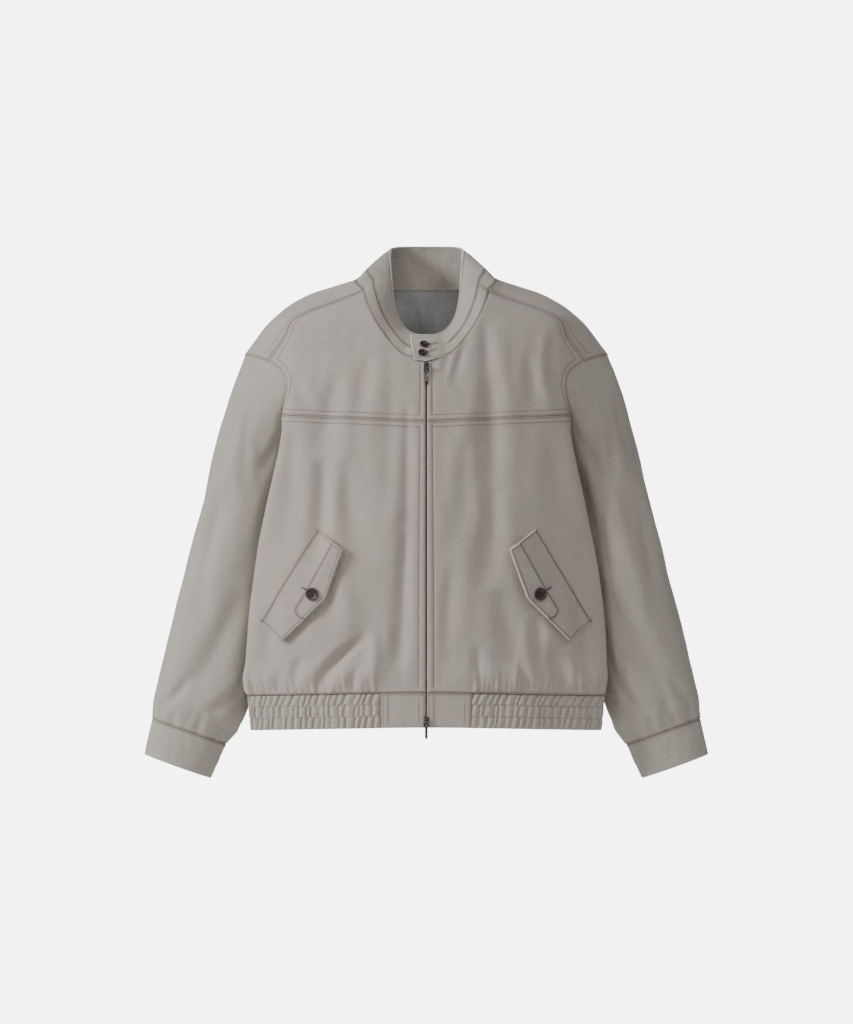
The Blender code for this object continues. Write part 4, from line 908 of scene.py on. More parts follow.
sleeve = {
    # outX, outHeight, inX, inHeight, front, back
    "rings": ((286, -134, 213, -287, -40, 62), (303, -192, 219, -312, -40, 67),
              (321, -256, 225, -344, -41, 73),
              (339, -328, 233, -391, -41, 78), (357, -400, 241, -449, -40, 79),
              (375, -471, 252, -514, -37, 77),
              (392, -540, 262, -583, -32, 73), (401, -577, 268, -622, -28, 68),
              (408, -610, 281, -655, -22, 62),
              (412, -643, 300, -682, -14, 54), (418, -670, 312, -708, -13, 53),
              (424, -697, 324, -733, -12, 52)),
    "around": 132, "rows": 175, "cuffFrom": 10, "thickness": 1.5, "cuffThickness": 2.4, "sunk": 0.9,
    # ring0, angle0, ring1, angle1, width, depth; angle 0 is the outer side, 90 the front
    "troughs": ((0.6, 60, 3.2, 20, 20, 5.0), (3.0, 75, 5.6, 35, 20, 5.0), (5.2, 120, 9.0, 55, 18, 6.0),
                (1.2, 300, 4.5, 345, 20, 5.0), (4.8, 250, 8.6, 305, 20, 6.0)),
    # with a bend before the width
    "creases": ((0.2, 112, 2.4, 96, 4, 8, 2.2), (0.5, 62, 3.2, 82, -5, 11, 2.6),
                (1.6, 132, 5.0, 112, 5, 12, 3.0),
                (3.4, 42, 6.4, 64, -6, 12, 3.0), (6.4, 138, 8.9, 100, 5, 8, 3.4),
                (7.6, 60, 9.5, 32, 4, 8, 2.8),
                (0.5, 250, 3.5, 285, 6, 11, 2.8), (3.0, 300, 6.5, 262, -6, 12, 3.0),
                (6.0, 230, 9.2, 285, 5, 9, 3.4),
                (7.5, 312, 9.5, 332, 4, 8, 2.6), (2.2, 12, 4.6, -8, 4, 13, 2.2),
                (5.4, 20, 7.6, 4, 4, 11, 2.4),
                (0.6, 172, 2.6, 186, 4, 10, 3.2), (3.2, 190, 6.0, 176, 4, 12, 3.0),
                (7.2, 188, 9.2, 172, 4, 9, 3.0)),
    "cuffPuckers": 17, "puckerSeed": 11, "puckerStart": (0.9, 1.9), "puckerEnd": 0.3, "puckerTurn": 9,
    "puckerShape": ((-2, 2), (4.5, 7.5), (1.2, 2.8)),
    # millimetres to a degree and to a ring, about, for the folds
    "perDegree": 1.15, "perRing": 60,
    "softStart": 26, "flatter": 8.0, "flatterAngle": (138, 27), "flatterRings": (0.6, 8.6),
    "waves": ((1.5, (48, 48, 110), 1.7), (0.7, (20, 20, 46), 5.1)), "fullness": (2.0, 24, 20),
    "cuffWaves": ((0.7, (16, 16, 22), 4.4), (0.5, (7, 7, 9), 9.1)), "cuffRows": 26,
}
sleeveEnd = float(sleeve["cuffFrom"])


def ringAt(ring, angle):
    out = np.array((ring[0], 0, ring[1]), float)
    inner = np.array((ring[2], 0, ring[3]), float)
    points = (out + inner) / 2 + np.cos(angle)[:, None] * (out - inner) / 2
    points[:, 1] = (ring[4] + ring[5]) / 2 - (ring[5] - ring[4]) / 2 * np.sin(angle)
    return points


def tubeRows(net, places):
    # at places counted in rings: points, outward directions, distance down the tube, uv
    rows = smoothAt(np.arange(len(net)), net.reshape(len(net), -1), places).reshape(len(places), -1, 3)
    lengths = np.concatenate(([0], np.cumsum(np.linalg.norm(np.diff(rows, axis=0), axis=2).mean(axis=1))))
    girths = np.linalg.norm(np.roll(rows, -1, axis=1) - rows, axis=2)
    around = np.concatenate((np.zeros((len(rows), 1)), np.cumsum(girths, axis=1)[:, :-1]), axis=1)
    return rows, gridNormals(rows, True), lengths[:, None], np.stack((around, 0 * around - lengths[:, None]),
                                                                     axis=-1)


def wavesAt(points, waves):
    return sum(size * noiseAt(points.reshape(-1, 3), grain, seed)
               for size, grain, seed in waves).reshape(points.shape[:-1])


def makeTube(name, sign, outer, inner, uv, marks, out, fromSeam):
    marks = wallMarks(*(np.broadcast_to(values, outer.shape[:2]) for values in marks))
    piece = gridMesh(name, np.concatenate((outer, inner[::-1])) * (sign, 1, 1), coolTwill,
                     np.concatenate((uv, uv[::-1])), marks, True)
    if sign < 0:
        piece.data.flip_normals()
    sewn = np.argmin(np.abs(fromSeam - rowNear))
    stitchRuns.append(tuple(np.concatenate((rows[sewn], rows[sewn][:1])) * (sign, 1, 1)
                            for rows in (outer, out)))
    return piece


def sleeveRelief(shift, sign, places, degrees, rows):
    random = np.random.default_rng(sleeve["puckerSeed"] + int(shift))
    perDegree, perRing = sleeve["perDegree"], sleeve["perRing"]
    creases = [(r0, a0, r1, a1, 0, *shape) for r0, a0, r1, a1, *shape in sleeve["troughs"]]
    creases += [(r0, a0 + shift, r1, a1 + shift * 0.6, *shape)
                for r0, a0, r1, a1, *shape in sleeve["creases"]]
    for number in range(sleeve["cuffPuckers"]):
        angle = (number + random.uniform(-0.3, 0.3)) * 360 / sleeve["cuffPuckers"]
        start = sleeveEnd - random.uniform(*sleeve["puckerStart"])
        creases.append((start, angle + random.uniform(-sleeve["puckerTurn"], sleeve["puckerTurn"]),
                        sleeveEnd + sleeve["puckerEnd"], angle,
                        *(random.uniform(*span) for span in sleeve["puckerShape"])))
    table = [(a0 * perDegree, r0 * perRing, a1 * perDegree, r1 * perRing, *shape)
             for r0, a0, r1, a1, *shape in creases]
    relief = np.zeros(rows.shape[:2])
    for turn in (-360, 0, 360):
        u, v = np.broadcast_arrays((degrees + turn)[None] * perDegree, places[:, None] * perRing)
        relief += creaseDrop(u, v, table)
    if sign < 0:
        # the right sleeve is pressed flatter towards the front
        first, length = sleeve["flatterRings"]
        middle, width = sleeve["flatterAngle"]
        along = np.clip(np.sin(np.pi * np.clip((places - first) / length, 0, 1)), 0, 1) ** 0.6
        relief += sleeve["flatter"] * along[:, None] * hump(degrees - middle, width)[None]
    softness = np.clip(places * perRing / sleeve["softStart"], 0, 1)[:, None]
    return softness * (relief + wavesAt(rows * (sign, 1, 1), sleeve["waves"]))


def makeSleeve(side, sign, shift):
    angles = np.linspace(0, 2 * np.pi, sleeve["around"] + 1)[:-1]
    degrees = np.degrees(angles)
    hole = armholeAt(degrees / 360 * armholeKeys)
    net = np.stack([bodyPoints(sign * hole[:, 0], hole[:, 1], -sleeve["sunk"]) * (sign, 1, 1)]
                   + [ringAt(ring, angles) for ring in sleeve["rings"]])
    tight = np.array((0.0, 0.9, 2.4, 4.5))
    places = np.concatenate((tight / 62, np.linspace(0.12, sleeveEnd - 0.2, sleeve["rows"]),
                             sleeveEnd - tight[::-1] / 30))
    rows, out, toHole, uv = tubeRows(net, places)
    toCuff = toHole[-1] - toHole
    relief = sleeveRelief(shift, sign, places, degrees, rows)
    # fullness just above the cuff seam and a little roll at both ends
    size, middle, width = sleeve["fullness"]
    relief += size * hump(toCuff - middle, width) * (0.6 - 0.4 * np.cos(angles))
    relief -= 0.9 * rolled(toCuff, 2.4)
    relief += 0.5 * np.clip((9 - toHole) / 4, 0, 1) * np.clip(toHole / 2.4, 0, 1)
    outer = rows + out * relief[..., None]
    marks = (np.minimum(toCuff, farAway), farAway, farAway)
    piece = makeTube("sleeve" + side, sign, outer, outer - out * sleeve["thickness"], uv, marks, out, toCuff)
    dress(piece, ["sleeve_" + side.lower()])
    return net


def makeCuff(side, sign, net):
    last, close = len(net) - 1, np.array((0.0, 0.04, 0.09))
    first = np.array((0.012, 0.04, 0.09))
    places = np.concatenate((sleeveEnd + first,
                             np.linspace(sleeveEnd + 0.18, last - 0.14, sleeve["cuffRows"]),
                             last - close[::-1]))
    rows, out, toSeam, uv = tubeRows(net, places)
    toEnd = toSeam[-1] - toSeam
    thickness = sleeve["cuffThickness"]
    relief = wavesAt(rows * (sign, 1, 1), sleeve["cuffWaves"]) * np.clip(toSeam / 8, 0.25, 1)
    closing = thickness * 0.42 * rolled(toEnd, 1.8)
    relief -= 0.8 * rolled(toSeam, 2.2) + closing
    inner = rows + out * (np.clip(relief, -1.2, 1) - thickness + 2 * closing)[..., None]
    marks = (np.minimum(toSeam, toEnd + 1.2), farAway, toEnd)
    piece = makeTube("cuff" + side, sign, rows + out * relief[..., None], inner, uv, marks, out, toSeam)
    dress(piece, ["cuff_" + side.lower()])


for side, sign, shift in (("Left", 1, 0.0), ("Right", -1, 9.0)):
    makeCuff(side, sign, makeSleeve(side, sign, shift))
print("sleeves and cuffs made")


# collar

collar = {
    # share of the way round, x, depth and height of the top edge
    "top": ((0.0, 0, -65, -68), (0.08, 14, -63, -67.5), (0.17, 29, -56, -60), (0.26, 41, -44, -43),
            (0.35, 47.5, -26, -18), (0.44, 50.5, -3, 12), (0.53, 52.5, 18, 40), (0.63, 54, 38, 61),
            (0.75, 45, 52, 67), (0.87, 25, 59, 68), (1.0, 0, 61, 68)),
    "bandShare": 0.36, "bulge": 4.0, "thickness": 2.4, "endGap": 0.4, "columns": 120, "rows": 22,
    "lowSteps": (0, 0.9, 2.4), "highSteps": (3.6, 2.8, 2.0, 1.4, 0.9, 0.4, 0.0), "plainFrom": 4.6,
    "roll": (0.8, 2.4), "bead": (0.8, 1.3, 1.1), "beadGroove": (0.45, 0.8), "beadShift": 1.6, "rimShare": 0.7,
    "waves": ((0.8, (18, 18, 30), 6.6), (0.35, (7, 7, 9), 2.9)),
}
neckLine = np.concatenate((neckFront, neckBack[1:]))
neckPoints = bodyPoints(neckLine[:, 0], neckLine[:, 1])
neckOut = bodyNormal(neckLine[:, 0], neckLine[:, 1])
neckShares = runLengths(neckPoints)
neckShares = neckShares / neckShares[-1]
collarTop = np.array(collar["top"], float)


def collarFace(share, up, lift=0.0):
    share = np.atleast_1d(np.asarray(share, float))
    up = np.atleast_1d(np.asarray(up, float)) + 0 * share
    place = np.abs(share)
    base, ahead, behind = (smoothAt(neckShares, neckPoints, at)
                           for at in (place, np.minimum(place + 0.01, 1.0), np.maximum(place - 0.01, 0.0)))
    top = smoothAt(collarTop[:, 0], collarTop[:, 1:], place)
    out = unit(np.cross(ahead - behind, top - base))
    blend = np.clip(up / 0.2, 0, 1)[:, None]
    direction = unit(out * blend + unit(smoothAt(neckShares, neckOut, place)) * (1 - blend))
    rise = up[:, None]
    bulge = collar["bulge"] * 4 * rise * (1 - rise) * (rise > 0) * (rise < 1)
    points = base * (1 - rise) + top * rise + out * bulge + direction * np.reshape(lift, (-1, 1))
    points[:, 0] = np.maximum(points[:, 0], 0) * np.where(share < 0, -1, 1)
    return points


def collarShare(x, up):
    reach = np.linspace(0, 0.3, 61)
    return np.array([math.copysign(np.interp(abs(across), collarFace(reach, rise)[:, 0], reach), across)
                     for across, rise in np.broadcast(x, up)])


# from the wearer's left centre front, round the back, to the right
leftShares = np.linspace(0, 1, collar["columns"] + 1)
roundShares = np.concatenate((leftShares, -leftShares[:-1][::-1]))
roundDepth = np.linalg.norm(collarFace(roundShares, 1.0) - collarFace(roundShares, 0.0), axis=1)
roundLength = runLengths(collarFace(roundShares, 0.4))
meanDepth = roundDepth.mean()


def wrinkled(up, lift, fromLow, fromHigh, shown=None):
    # the collar's face with its wrinkles, which fade towards both edges
    wrinkle = wavesAt(collarFace(roundShares, up, lift), collar["waves"])
    wrinkle = wrinkle * min(1.0, fromHigh / 8, (fromLow + 2) / 8)
    return collarFace(roundShares, up, (lift if shown is None else shown) + wrinkle)


def collarBand(name, low, high, outLift, thickness, material, sewn, free):
    # outer rows up, a rounded edge where the top is free, inner rows down
    lowSteps, highSteps = (np.array(collar[key]) / meanDepth for key in ("lowSteps", "highSteps"))
    plainFrom, tall, half = collar["plainFrom"] / meanDepth, high - low, thickness / 2
    along = np.concatenate((lowSteps, np.linspace(plainFrom, tall - plainFrom, collar["rows"]),
                            tall - highSteps))
    depth, reach = collar["roll"]
    bead, beadPlace, beadWidth = collar["bead"]
    groove, grooveWidth = collar["beadGroove"]
    freeRow = rowNear + collar["beadShift"]
    rows, uvs, ones, rims = [], [], [], []
    for inner in (False, True):
        for step in along[::-1] if inner else along:
            fromLow, fromHigh = step * meanDepth, (tall - step) * meanDepth
            lift = outLift - thickness * inner
            if sewn and not inner:
                lift -= depth * rolled(fromLow, reach)
                if not free:
                    lift -= depth * rolled(fromHigh, reach)
            if free:
                closing = half * (1 - math.sqrt(1 - rolled(fromHigh, half)))
                if inner:
                    lift += closing
                else:
                    lift += bead * hump(fromHigh - beadPlace, beadWidth) - groove * hump(fromHigh - rimRow,
                                                                                         grooveWidth)
                    lift -= closing
            points = wrinkled(low + step, lift, fromLow, fromHigh)
            points[:, 0] = np.where(roundShares >= 0, np.maximum(points[:, 0], collar["endGap"]),
                                    np.minimum(points[:, 0], -collar["endGap"]))
            points[collar["columns"], 0] = 0
            rows.append(points)
            uvs.append(np.stack((roundLength, (low + step) * roundDepth), axis=-1))
            fromRow = rowNear + abs(fromHigh - freeRow) if free else fromHigh
            ones.append(np.full(len(roundShares), min(fromLow, fromRow) if sewn and not inner else farAway))
            rims.append(np.full(len(roundShares), fromHigh * collar["rimShare"] if free else farAway))
    marks = {"seamOne": ones, "seamTwo": np.full(np.shape(ones), farAway), "rim": rims}
    made = gridMesh(name, rows, material, uvs, marks, False)
    for up in (low + rowNear / meanDepth, high - (freeRow if free else rowNear) / meanDepth) if sewn else ():
        run = wrinkled(up, outLift + 0.1, (up - low) * meanDepth, (high - up) * meanDepth, outLift + 0.05)
        outward = unit(collarFace(roundShares, up, outLift + 1) - collarFace(roundShares, up, outLift))
        stitchRuns.append((run[2:-2], outward[2:-2]))
    return made


seamShare = seams["gap"] / meanDepth
wall = collar["thickness"]
band = collarBand("collarBand", seamShare, collar["bandShare"] - seamShare / 2, 0.0, wall, coolTwill, True,
                  False)
dress(band, ["collar_band"])
stand = collarBand("collarStand", collar["bandShare"] + seamShare / 2, 1.0, 0.0, wall, coolTwill, True, True)
dress(stand, ["collar"])
facing = collarBand("collarFacing", -0.04, 0.985, -wall - 0.25, 0.7, litFacingTwill, False, False)
dress(facing, [])
print("collar made")


# tab over the centre front

tab = {
    "rightX": (-18.0, -24.5), "leftX": (34.0, 46.0), "low": (-0.1, 0.0), "high": (0.78, 0.96), "fade": 34.0,
    "thickness": 2.2, "ease": 0.6, "columns": 46, "rows": 34, "width": 61.0, "tall": 36.0, "sunk": 0.9,
    "endSteps": (0, 0.018, 0.04, 0.065, 0.09), "sideSteps": (0, 0.025, 0.055, 0.09, 0.125), "unmarked": 8,
    "bead": (0.3, 1.5, 0.8), "row": 2.4, "innerSunk": 1.7,
}


def tabAt(lift, along, upward):
    # along 0 to 1 from the wearer's left to the right end, upward 0 to 1
    right, left = (np.interp(upward, (0, 1), tab[key]) for key in ("rightX", "leftX"))
    x = left + (right - left) * along
    low, high = (np.interp(x, (right, left), tab[key]) for key in ("low", "high"))
    rise = low + (high - low) * upward
    return collarFace(collarShare(np.array([x]), rise), rise, lift)[0]


def tabLift(toLeft, roll=0.0):
    # the end that is cut in one with the collar sinks into it, with no edge of its own
    blend = eased(min(1.0, toLeft / tab["fade"]))
    return (tab["ease"] + tab["thickness"] + roll) * blend - tab["sunk"] * (1 - blend), blend


def edged(count, near):
    middle = np.linspace(near[-1], 1 - near[-1], count)
    return np.concatenate((near[:-1], middle, 1 - np.array(near[:-1])[::-1]))


def makeTab():
    alongs, upwards = edged(tab["columns"], tab["endSteps"]), edged(tab["rows"], tab["sideSteps"])
    width, tall = tab["width"], tab["tall"]
    bead, beadPlace, beadWidth = tab["bead"]
    outer, inner, ones, rims, uv = [], [], [], [], []
    for upward in upwards:
        for along in alongs:
            edge = min((1 - along) * width, upward * tall, (1 - upward) * tall)
            roll = bead * hump(edge - beadPlace, beadWidth) - rolled(edge, form["edgeRoll"])
            lift, blend = tabLift(along * width, roll)
            outer.append(tabAt(lift, along, upward))
            inner.append(tabAt(tab["ease"] * 0.3 * blend - tab["innerSunk"] * (1 - blend), along, upward))
            ones.append(rowNear + abs(edge - tab["row"]) + tab["unmarked"] * (1 - blend))
            rims.append(edge + tab["unmarked"] * (1 - blend))
            uv.append((along * width, upward * tall))
    # rows run up the outer face and down the inner one
    outer, inner, ones, rims, uv = (np.array(values).reshape(len(upwards), len(alongs), -1)
                                    for values in (outer, inner, ones, rims, uv))
    marks = wallMarks(ones, np.full(ones.shape, farAway), rims)
    made = gridMesh("collarTab", np.concatenate((outer, inner[::-1])), coolTwill,
                    np.concatenate((uv, uv[::-1])), marks,
                    False)
    made.data.validate()
    made.data.flip_normals()
    right, top, low = 1 - tab["row"] / width, 1 - tab["row"] / tall, tab["row"] / tall
    route = np.array(((0.3, top), (right, top), (right, low), (0.3, low)))
    run = [(tabLift(along * width)[0] + 0.1, along, upward)
           for along, upward in resample(route * (width, tall), 2.0) / (width, tall)]
    path, raised = (np.array([tabAt(lift + more, *point) for lift, *point in run]) for more in (0, 1))
    stitchRuns.append((path, unit(raised - path)))
    return made


collarTab = makeTab()
dress(collarTab, ["collar_tab"])


# waistband

waistband = {
    "plainFrom": seams["plainBand"], "channels": (0.0, 0.335, 0.67, 1.0), "ribPitch": 8.4, "ribHeight": 3.8,
    "puff": 0.1, "thickness": 2.0, "columnStep": 0.85, "rowsPerChannel": 10, "seed": 21, "tuck": 3.0,
    # how far each channel's ribs lean from its top to its foot
    "lean": (6.0, 1.6, 2.4), "leanWave": (1.2, (30, 20, 9), 40, 5.1), "fineWave": (0.3, (4, 9, 4), 52, 3.3),
    "spacing": (0.75, 1.3), "jitter": 2.6, "sizes": (0.6, 1.15), "ribMiddle": 0.74, "sewnReach": 3.6,
    "sunk": (-2.7, -2.4), "innerSunk": (-3.7, -3.4), "innerEase": 0.6, "topRow": 0.035, "footDrop": 0.4,
}


def frontBandSides():
    top = hemPairs(np.linspace(hemStart, waistband["plainFrom"], 16))
    low = top - (0, seams["bandHeight"])
    return [(np.array((top[0], low[0])), 2), (low, 0), (np.array((low[-1], top[-1])), 2), (top[::-1], 1)]


for side, _, turned in bothSides:
    plain = clothPanel("waistbandFront" + side, turned(frontBandSides()), spacing=3.5, edgeStep=3.0,
                       thickness=2.2)
    dress(plain, ["waistband_front_" + side.lower()])


def makeElastic():
    start, end = waistband["plainFrom"], 2 * body["back"] - waistband["plainFrom"]
    girths = np.linspace(start + 0.2, end - 0.2, int((end - start) / waistband["columnStep"]))
    girths = np.concatenate(([start - waistband["tuck"], start], girths, [end, end + waistband["tuck"]]))
    channels, perChannel = waistband["channels"], waistband["rowsPerChannel"]
    downs = [down for low, high in zip(channels, channels[1:])
             for down in np.linspace(low, high, perChannel + 1)[:-1]]
    # the top row tucks up behind the panels, and the ends behind the plain front
    downs = np.array([-0.06, 0.001, 0.012] + downs[2:] + [1.0])
    tucked = (girths < start + 0.1) | (girths > end - 0.1)
    random = np.random.default_rng(waistband["seed"])
    count = int((end - start) / waistband["ribPitch"])
    jitter = np.cumsum(random.uniform(*waistband["spacing"], count))
    knots = np.concatenate(([0], jitter)) / jitter[-1] * (end - start) + start
    ribs = [(knots + random.uniform(-waistband["jitter"], waistband["jitter"], count + 1),
             random.uniform(*waistband["sizes"], count + 1)) for _ in channels[1:]]
    height = seams["bandHeight"]

    def wave(key, down, channel):
        size, grain, stretch, seed = waistband[key]
        return size * noiseAt(flatPoints(girths, 0 * girths + down * stretch), grain, channel * seed)

    def level(down, lift, sunk, drop=0.0):
        lift = np.where(tucked, sunk[0], sunk[1] if down < 0.002 else lift) - drop
        return bodyPoints(girths, hemHeight(girths) - down * height, lift)

    outer = []
    for down in downs:
        channel = int(np.clip(np.searchsorted(channels, down, side="right") - 1, 0, 2))
        low, high = channels[channel:channel + 2]
        share = max(0.0, (down - low) / (high - low))
        knots, sizes = ribs[channel]
        lean = waistband["lean"][channel] * (share - 0.5) + wave("leanWave", down, channel)
        at = np.interp(girths + lean, knots, np.arange(len(knots)))
        size = np.interp(at, np.arange(len(knots)), sizes)
        rib = np.sin(np.pi * np.mod(at, 1) ** 0.85) ** 0.68
        sewn = min(1.0, min(share, 1 - share) * height / 3 / waistband["sewnReach"])
        fade = math.sin(math.pi / 2 * sewn) ** 0.8
        lift = (0.72 + 0.28 * fade) * (waistband["ribHeight"] * (rib - waistband["ribMiddle"]) * size
                                       + wave("fineWave", down, channel))
        lift = lift + waistband["puff"] * math.sin(math.pi * share) - waistband["footDrop"] * (1 - fade)
        outer.append(level(down, lift, waistband["sunk"], waistband["footDrop"] * (down > 0.985)))
    outer = np.array(outer)
    inner = np.array([level(down, -waistband["thickness"] - waistband["innerEase"], waistband["innerSunk"])
                      for down in downs])
    uv = np.array([np.stack((girths - start, 0 * girths - down * height), -1) for down in downs])
    near = np.min(np.abs(downs[:, None] - channels[:-1]), axis=1) * height + rowNear
    far = np.full(outer.shape[:2], farAway)
    marks = wallMarks(np.broadcast_to(near[:, None], far.shape), far, far)
    piece = gridMesh("waistbandElastic", np.concatenate((outer, inner[::-1])), ribTwill,
                     np.concatenate((uv, uv[::-1])),
                     marks, False)
    piece.data.flip_normals()
    out = gridNormals(outer, False)
    for line in (waistband["topRow"], *channels[1:3]):
        row = int(np.argmin(np.abs(downs - line)))
        stitchRuns.append((outer[row][2:-2] + out[row][2:-2] * 0.15, out[row][2:-2]))
    return piece


elastic = makeElastic()
dress(elastic, ["waistband_elastic"])
print("waistband made")


# pocket flaps

flap = {
    "corners": ((163, -358), (121, -388), (148, -462), (212, -526), (247, -497)), "round": 3.0,
    # the strip's free edge lies on the flap's own, from the middle of its top to its lower corner
    "strip": ((138, -377.2), (121.4, -388.4), (148.3, -461.7), (179.4, -492.8), (188, -490.5), (194, -483),
              (194.7, -477.5), (178.2, -450)), "stripRound": (2.6, 3.0),
    "lift": 2.2, "thickness": 1.6, "proud": 5.6, "proudOver": 46.0, "stripLift": 1.35, "stripThickness": 1.05,
    "depths": (0.6, 1.4, 2.3, 3.2, 4.2), "wave": (0.8, (15, 22, 15), 8.8), "sewnDepth": 0.6,
}


def roundedPath(corners, radius):
    corners = np.asarray(corners, float)
    path = [corners[0]]
    for before, corner, after in zip(corners[:-2], corners[1:-1], corners[2:]):
        start = corner + unit(before - corner) * radius
        end = corner + unit(after - corner) * radius
        path += [(1 - t) ** 2 * start + 2 * t * (1 - t) * corner + t * t * end for t in np.linspace(0, 1, 6)]
    return np.array(path + [corners[-1]])


def onFront(points):
    points = resample(np.asarray(points, float), 2.5)
    return pairs(solveGirth(points[:, 1], points[:, 0], 0, 0, body["fold"]), points[:, 1])


sewnStart, sewnEnd = np.array(flap["corners"][0], float), np.array(flap["corners"][-1], float)
sewnRun = unit(sewnEnd - sewnStart)
sewnAcross = -leftOf(sewnRun)


def flapRelief(girth, height):
    x = np.abs(bodySmooth(girth, height)[:, 0])
    away = np.abs((x - sewnStart[0]) * sewnAcross[0] + (height - sewnStart[1]) * sewnAcross[1])
    share = np.clip(away / flap["proudOver"], 0, 1)
    size, grain, seed = flap["wave"]
    wave = size * noiseAt(flatPoints(girth, height), grain, seed)
    return flap["proud"] * eased(share) + wave - flap["sewnDepth"] * (1 - share)


def makeFlaps():
    free, inward = roundedPath(flap["corners"], flap["round"]), (flap["corners"][-1], flap["corners"][0])
    stripFree = roundedPath(flap["strip"][:4], flap["stripRound"][0])
    stripInner = roundedPath((*flap["strip"][3:], flap["strip"][0]), flap["stripRound"][1])
    stripLift = flap["lift"] + flap["stripLift"]
    for side, _, turned in bothSides:
        for name, node, edges, lift, thickness, flat, area in (
                ("flap", "flap_", (free, inward), flap["lift"], flap["thickness"], (0.168, 0.074), 0.0106),
                ("flapStrip", "flap_tab_", (stripFree, stripInner), stripLift, flap["stripThickness"],
                 (0.132, 0.038), 0.0036)):
            sides = turned([(onFront(edges[0]), "rim"), (onFront(edges[1]), 1)])
            piece = clothPanel(name + side, sides, shadedFlapTwill, spacing=2.2, edgeStep=2.0, lift=lift,
                               thickness=thickness, relief=flapRelief, depths=flap["depths"])
            dress(piece, [node + side.lower()])


makeFlaps()
print("flaps made")


# buttons

buttonSizes = {
    "pocket": {"radius": 9.6, "thickness": 3.2, "rim": 2.0, "holes": 2.1, "holeRadius": 0.85},
    "collar": {"radius": 6.8, "thickness": 2.8, "rim": 1.5, "holes": 1.6, "holeRadius": 0.65},
    "pocketPlace": (167.0, -455.0), "seat": 0.35, "collarLean": 14, "collarSeat": 0.4,
    "collarPlaces": (("Upper", -3.5, 0.46), ("Lower", -5.7, 0.15)),
    "rings": (0.25, 0.5, 0.68, 0.80, 0.88, 0.95, 1.0), "steps": 48, "holeSteps": 12,
    # the face's height over the radius, up to the rim, then the back's
    "dish": ((0, 0.60), (0.5, 0.62)), "rimShape": ((1.6, 0.66), (1.1, 0.96), (0.5, 1.0)),
    "edgeShape": ((0.95, 0.93), (1.0, 0.55)), "underside": ((0, 0.8, 0.93, 1.0), (0, 0, 0.2, 0.45)),
    "threadEnds": 0.72, "threadMiddles": (0.84, 0.92),
}
threadCrosses = []


def circle(radius, steps, way=1):
    angles = way * np.arange(steps) / steps * 2 * math.pi
    return np.stack((radius * np.cos(angles), radius * np.sin(angles)), axis=1)


def makeButton(name, centre, out, size, turn):
    radius, thick, rim = size["radius"], size["thickness"], size["rim"]
    rimRows = [(1 - share * rim / radius, height) for share, height in buttonSizes["rimShape"]]
    profile = np.array((*buttonSizes["dish"], *rimRows, *buttonSizes["edgeShape"]))
    radii = sorted({*buttonSizes["rings"], *(round(float(row[0]), 3) for row in profile[2:])})
    steps, holeSteps = buttonSizes["steps"], buttonSizes["holeSteps"]
    parts = [np.zeros((1, 2))] + [circle(share * radius, steps) for share in radii]
    corners = circle(size["holes"], 4) @ np.array(((1, 1), (-1, 1))) / math.sqrt(2)
    parts += [corner + circle(size["holeRadius"], holeSteps, -1) for corner in corners]
    flat = np.concatenate(parts)
    first = len(flat) - 4 * holeSteps
    outline = list(range(first - steps, first))
    loops = [list(range(first + hole * holeSteps, first + (hole + 1) * holeSteps)) for hole in range(4)]
    result = delaunay_2d_cdt([Vector(point) for point in flat.tolist()], [], [outline, *loops], 0, 1e-6)
    flat = np.array([tuple(point) for point in result[0]])
    at = {source: made for made, sources in enumerate(result[3]) for source in sources}
    centres = [flat[[at[index] for index in loop]].mean(axis=0) for loop in loops]
    faces = [tuple(face) for face in result[2]
             if all(np.linalg.norm(flat[list(face)].mean(axis=0) - hole) > size["holeRadius"] * 0.93
                    for hole in centres)]
    share = np.linalg.norm(flat, axis=1) / radius
    top, low = (np.interp(share, *table) * thick for table in (profile.T, buttonSizes["underside"]))
    total = len(flat)
    local = np.concatenate((np.column_stack((flat, top)), np.column_stack((flat, low))))
    faces += [tuple(total + corner for corner in reversed(face)) for face in faces]
    for loop in (outline, *loops):
        for index, following in zip(loop, loop[1:] + loop[:1]):
            faces.append((at[following], at[index], total + at[index], total + at[following]))
    out = Vector(out).normalized()
    rotation = np.array(out.to_track_quat("Z", "Y").to_matrix() @ Matrix.Rotation(turn, 3, "Z"))
    made = makeMesh(name, np.asarray(centre) + local @ rotation.T, faces, horn, sharp=40)
    # a cross of thread through the four holes
    for start, end, height in zip((0, 1), (2, 3), buttonSizes["threadMiddles"]):
        run = [(*centres[start], thick * buttonSizes["threadEnds"]),
               (*((centres[start] + centres[end]) / 2), thick * height),
               (*centres[end], thick * buttonSizes["threadEnds"])]
        threadCrosses.append((np.array(run) @ rotation.T + centre, np.repeat([tuple(out)], 3, axis=0)))
    return made


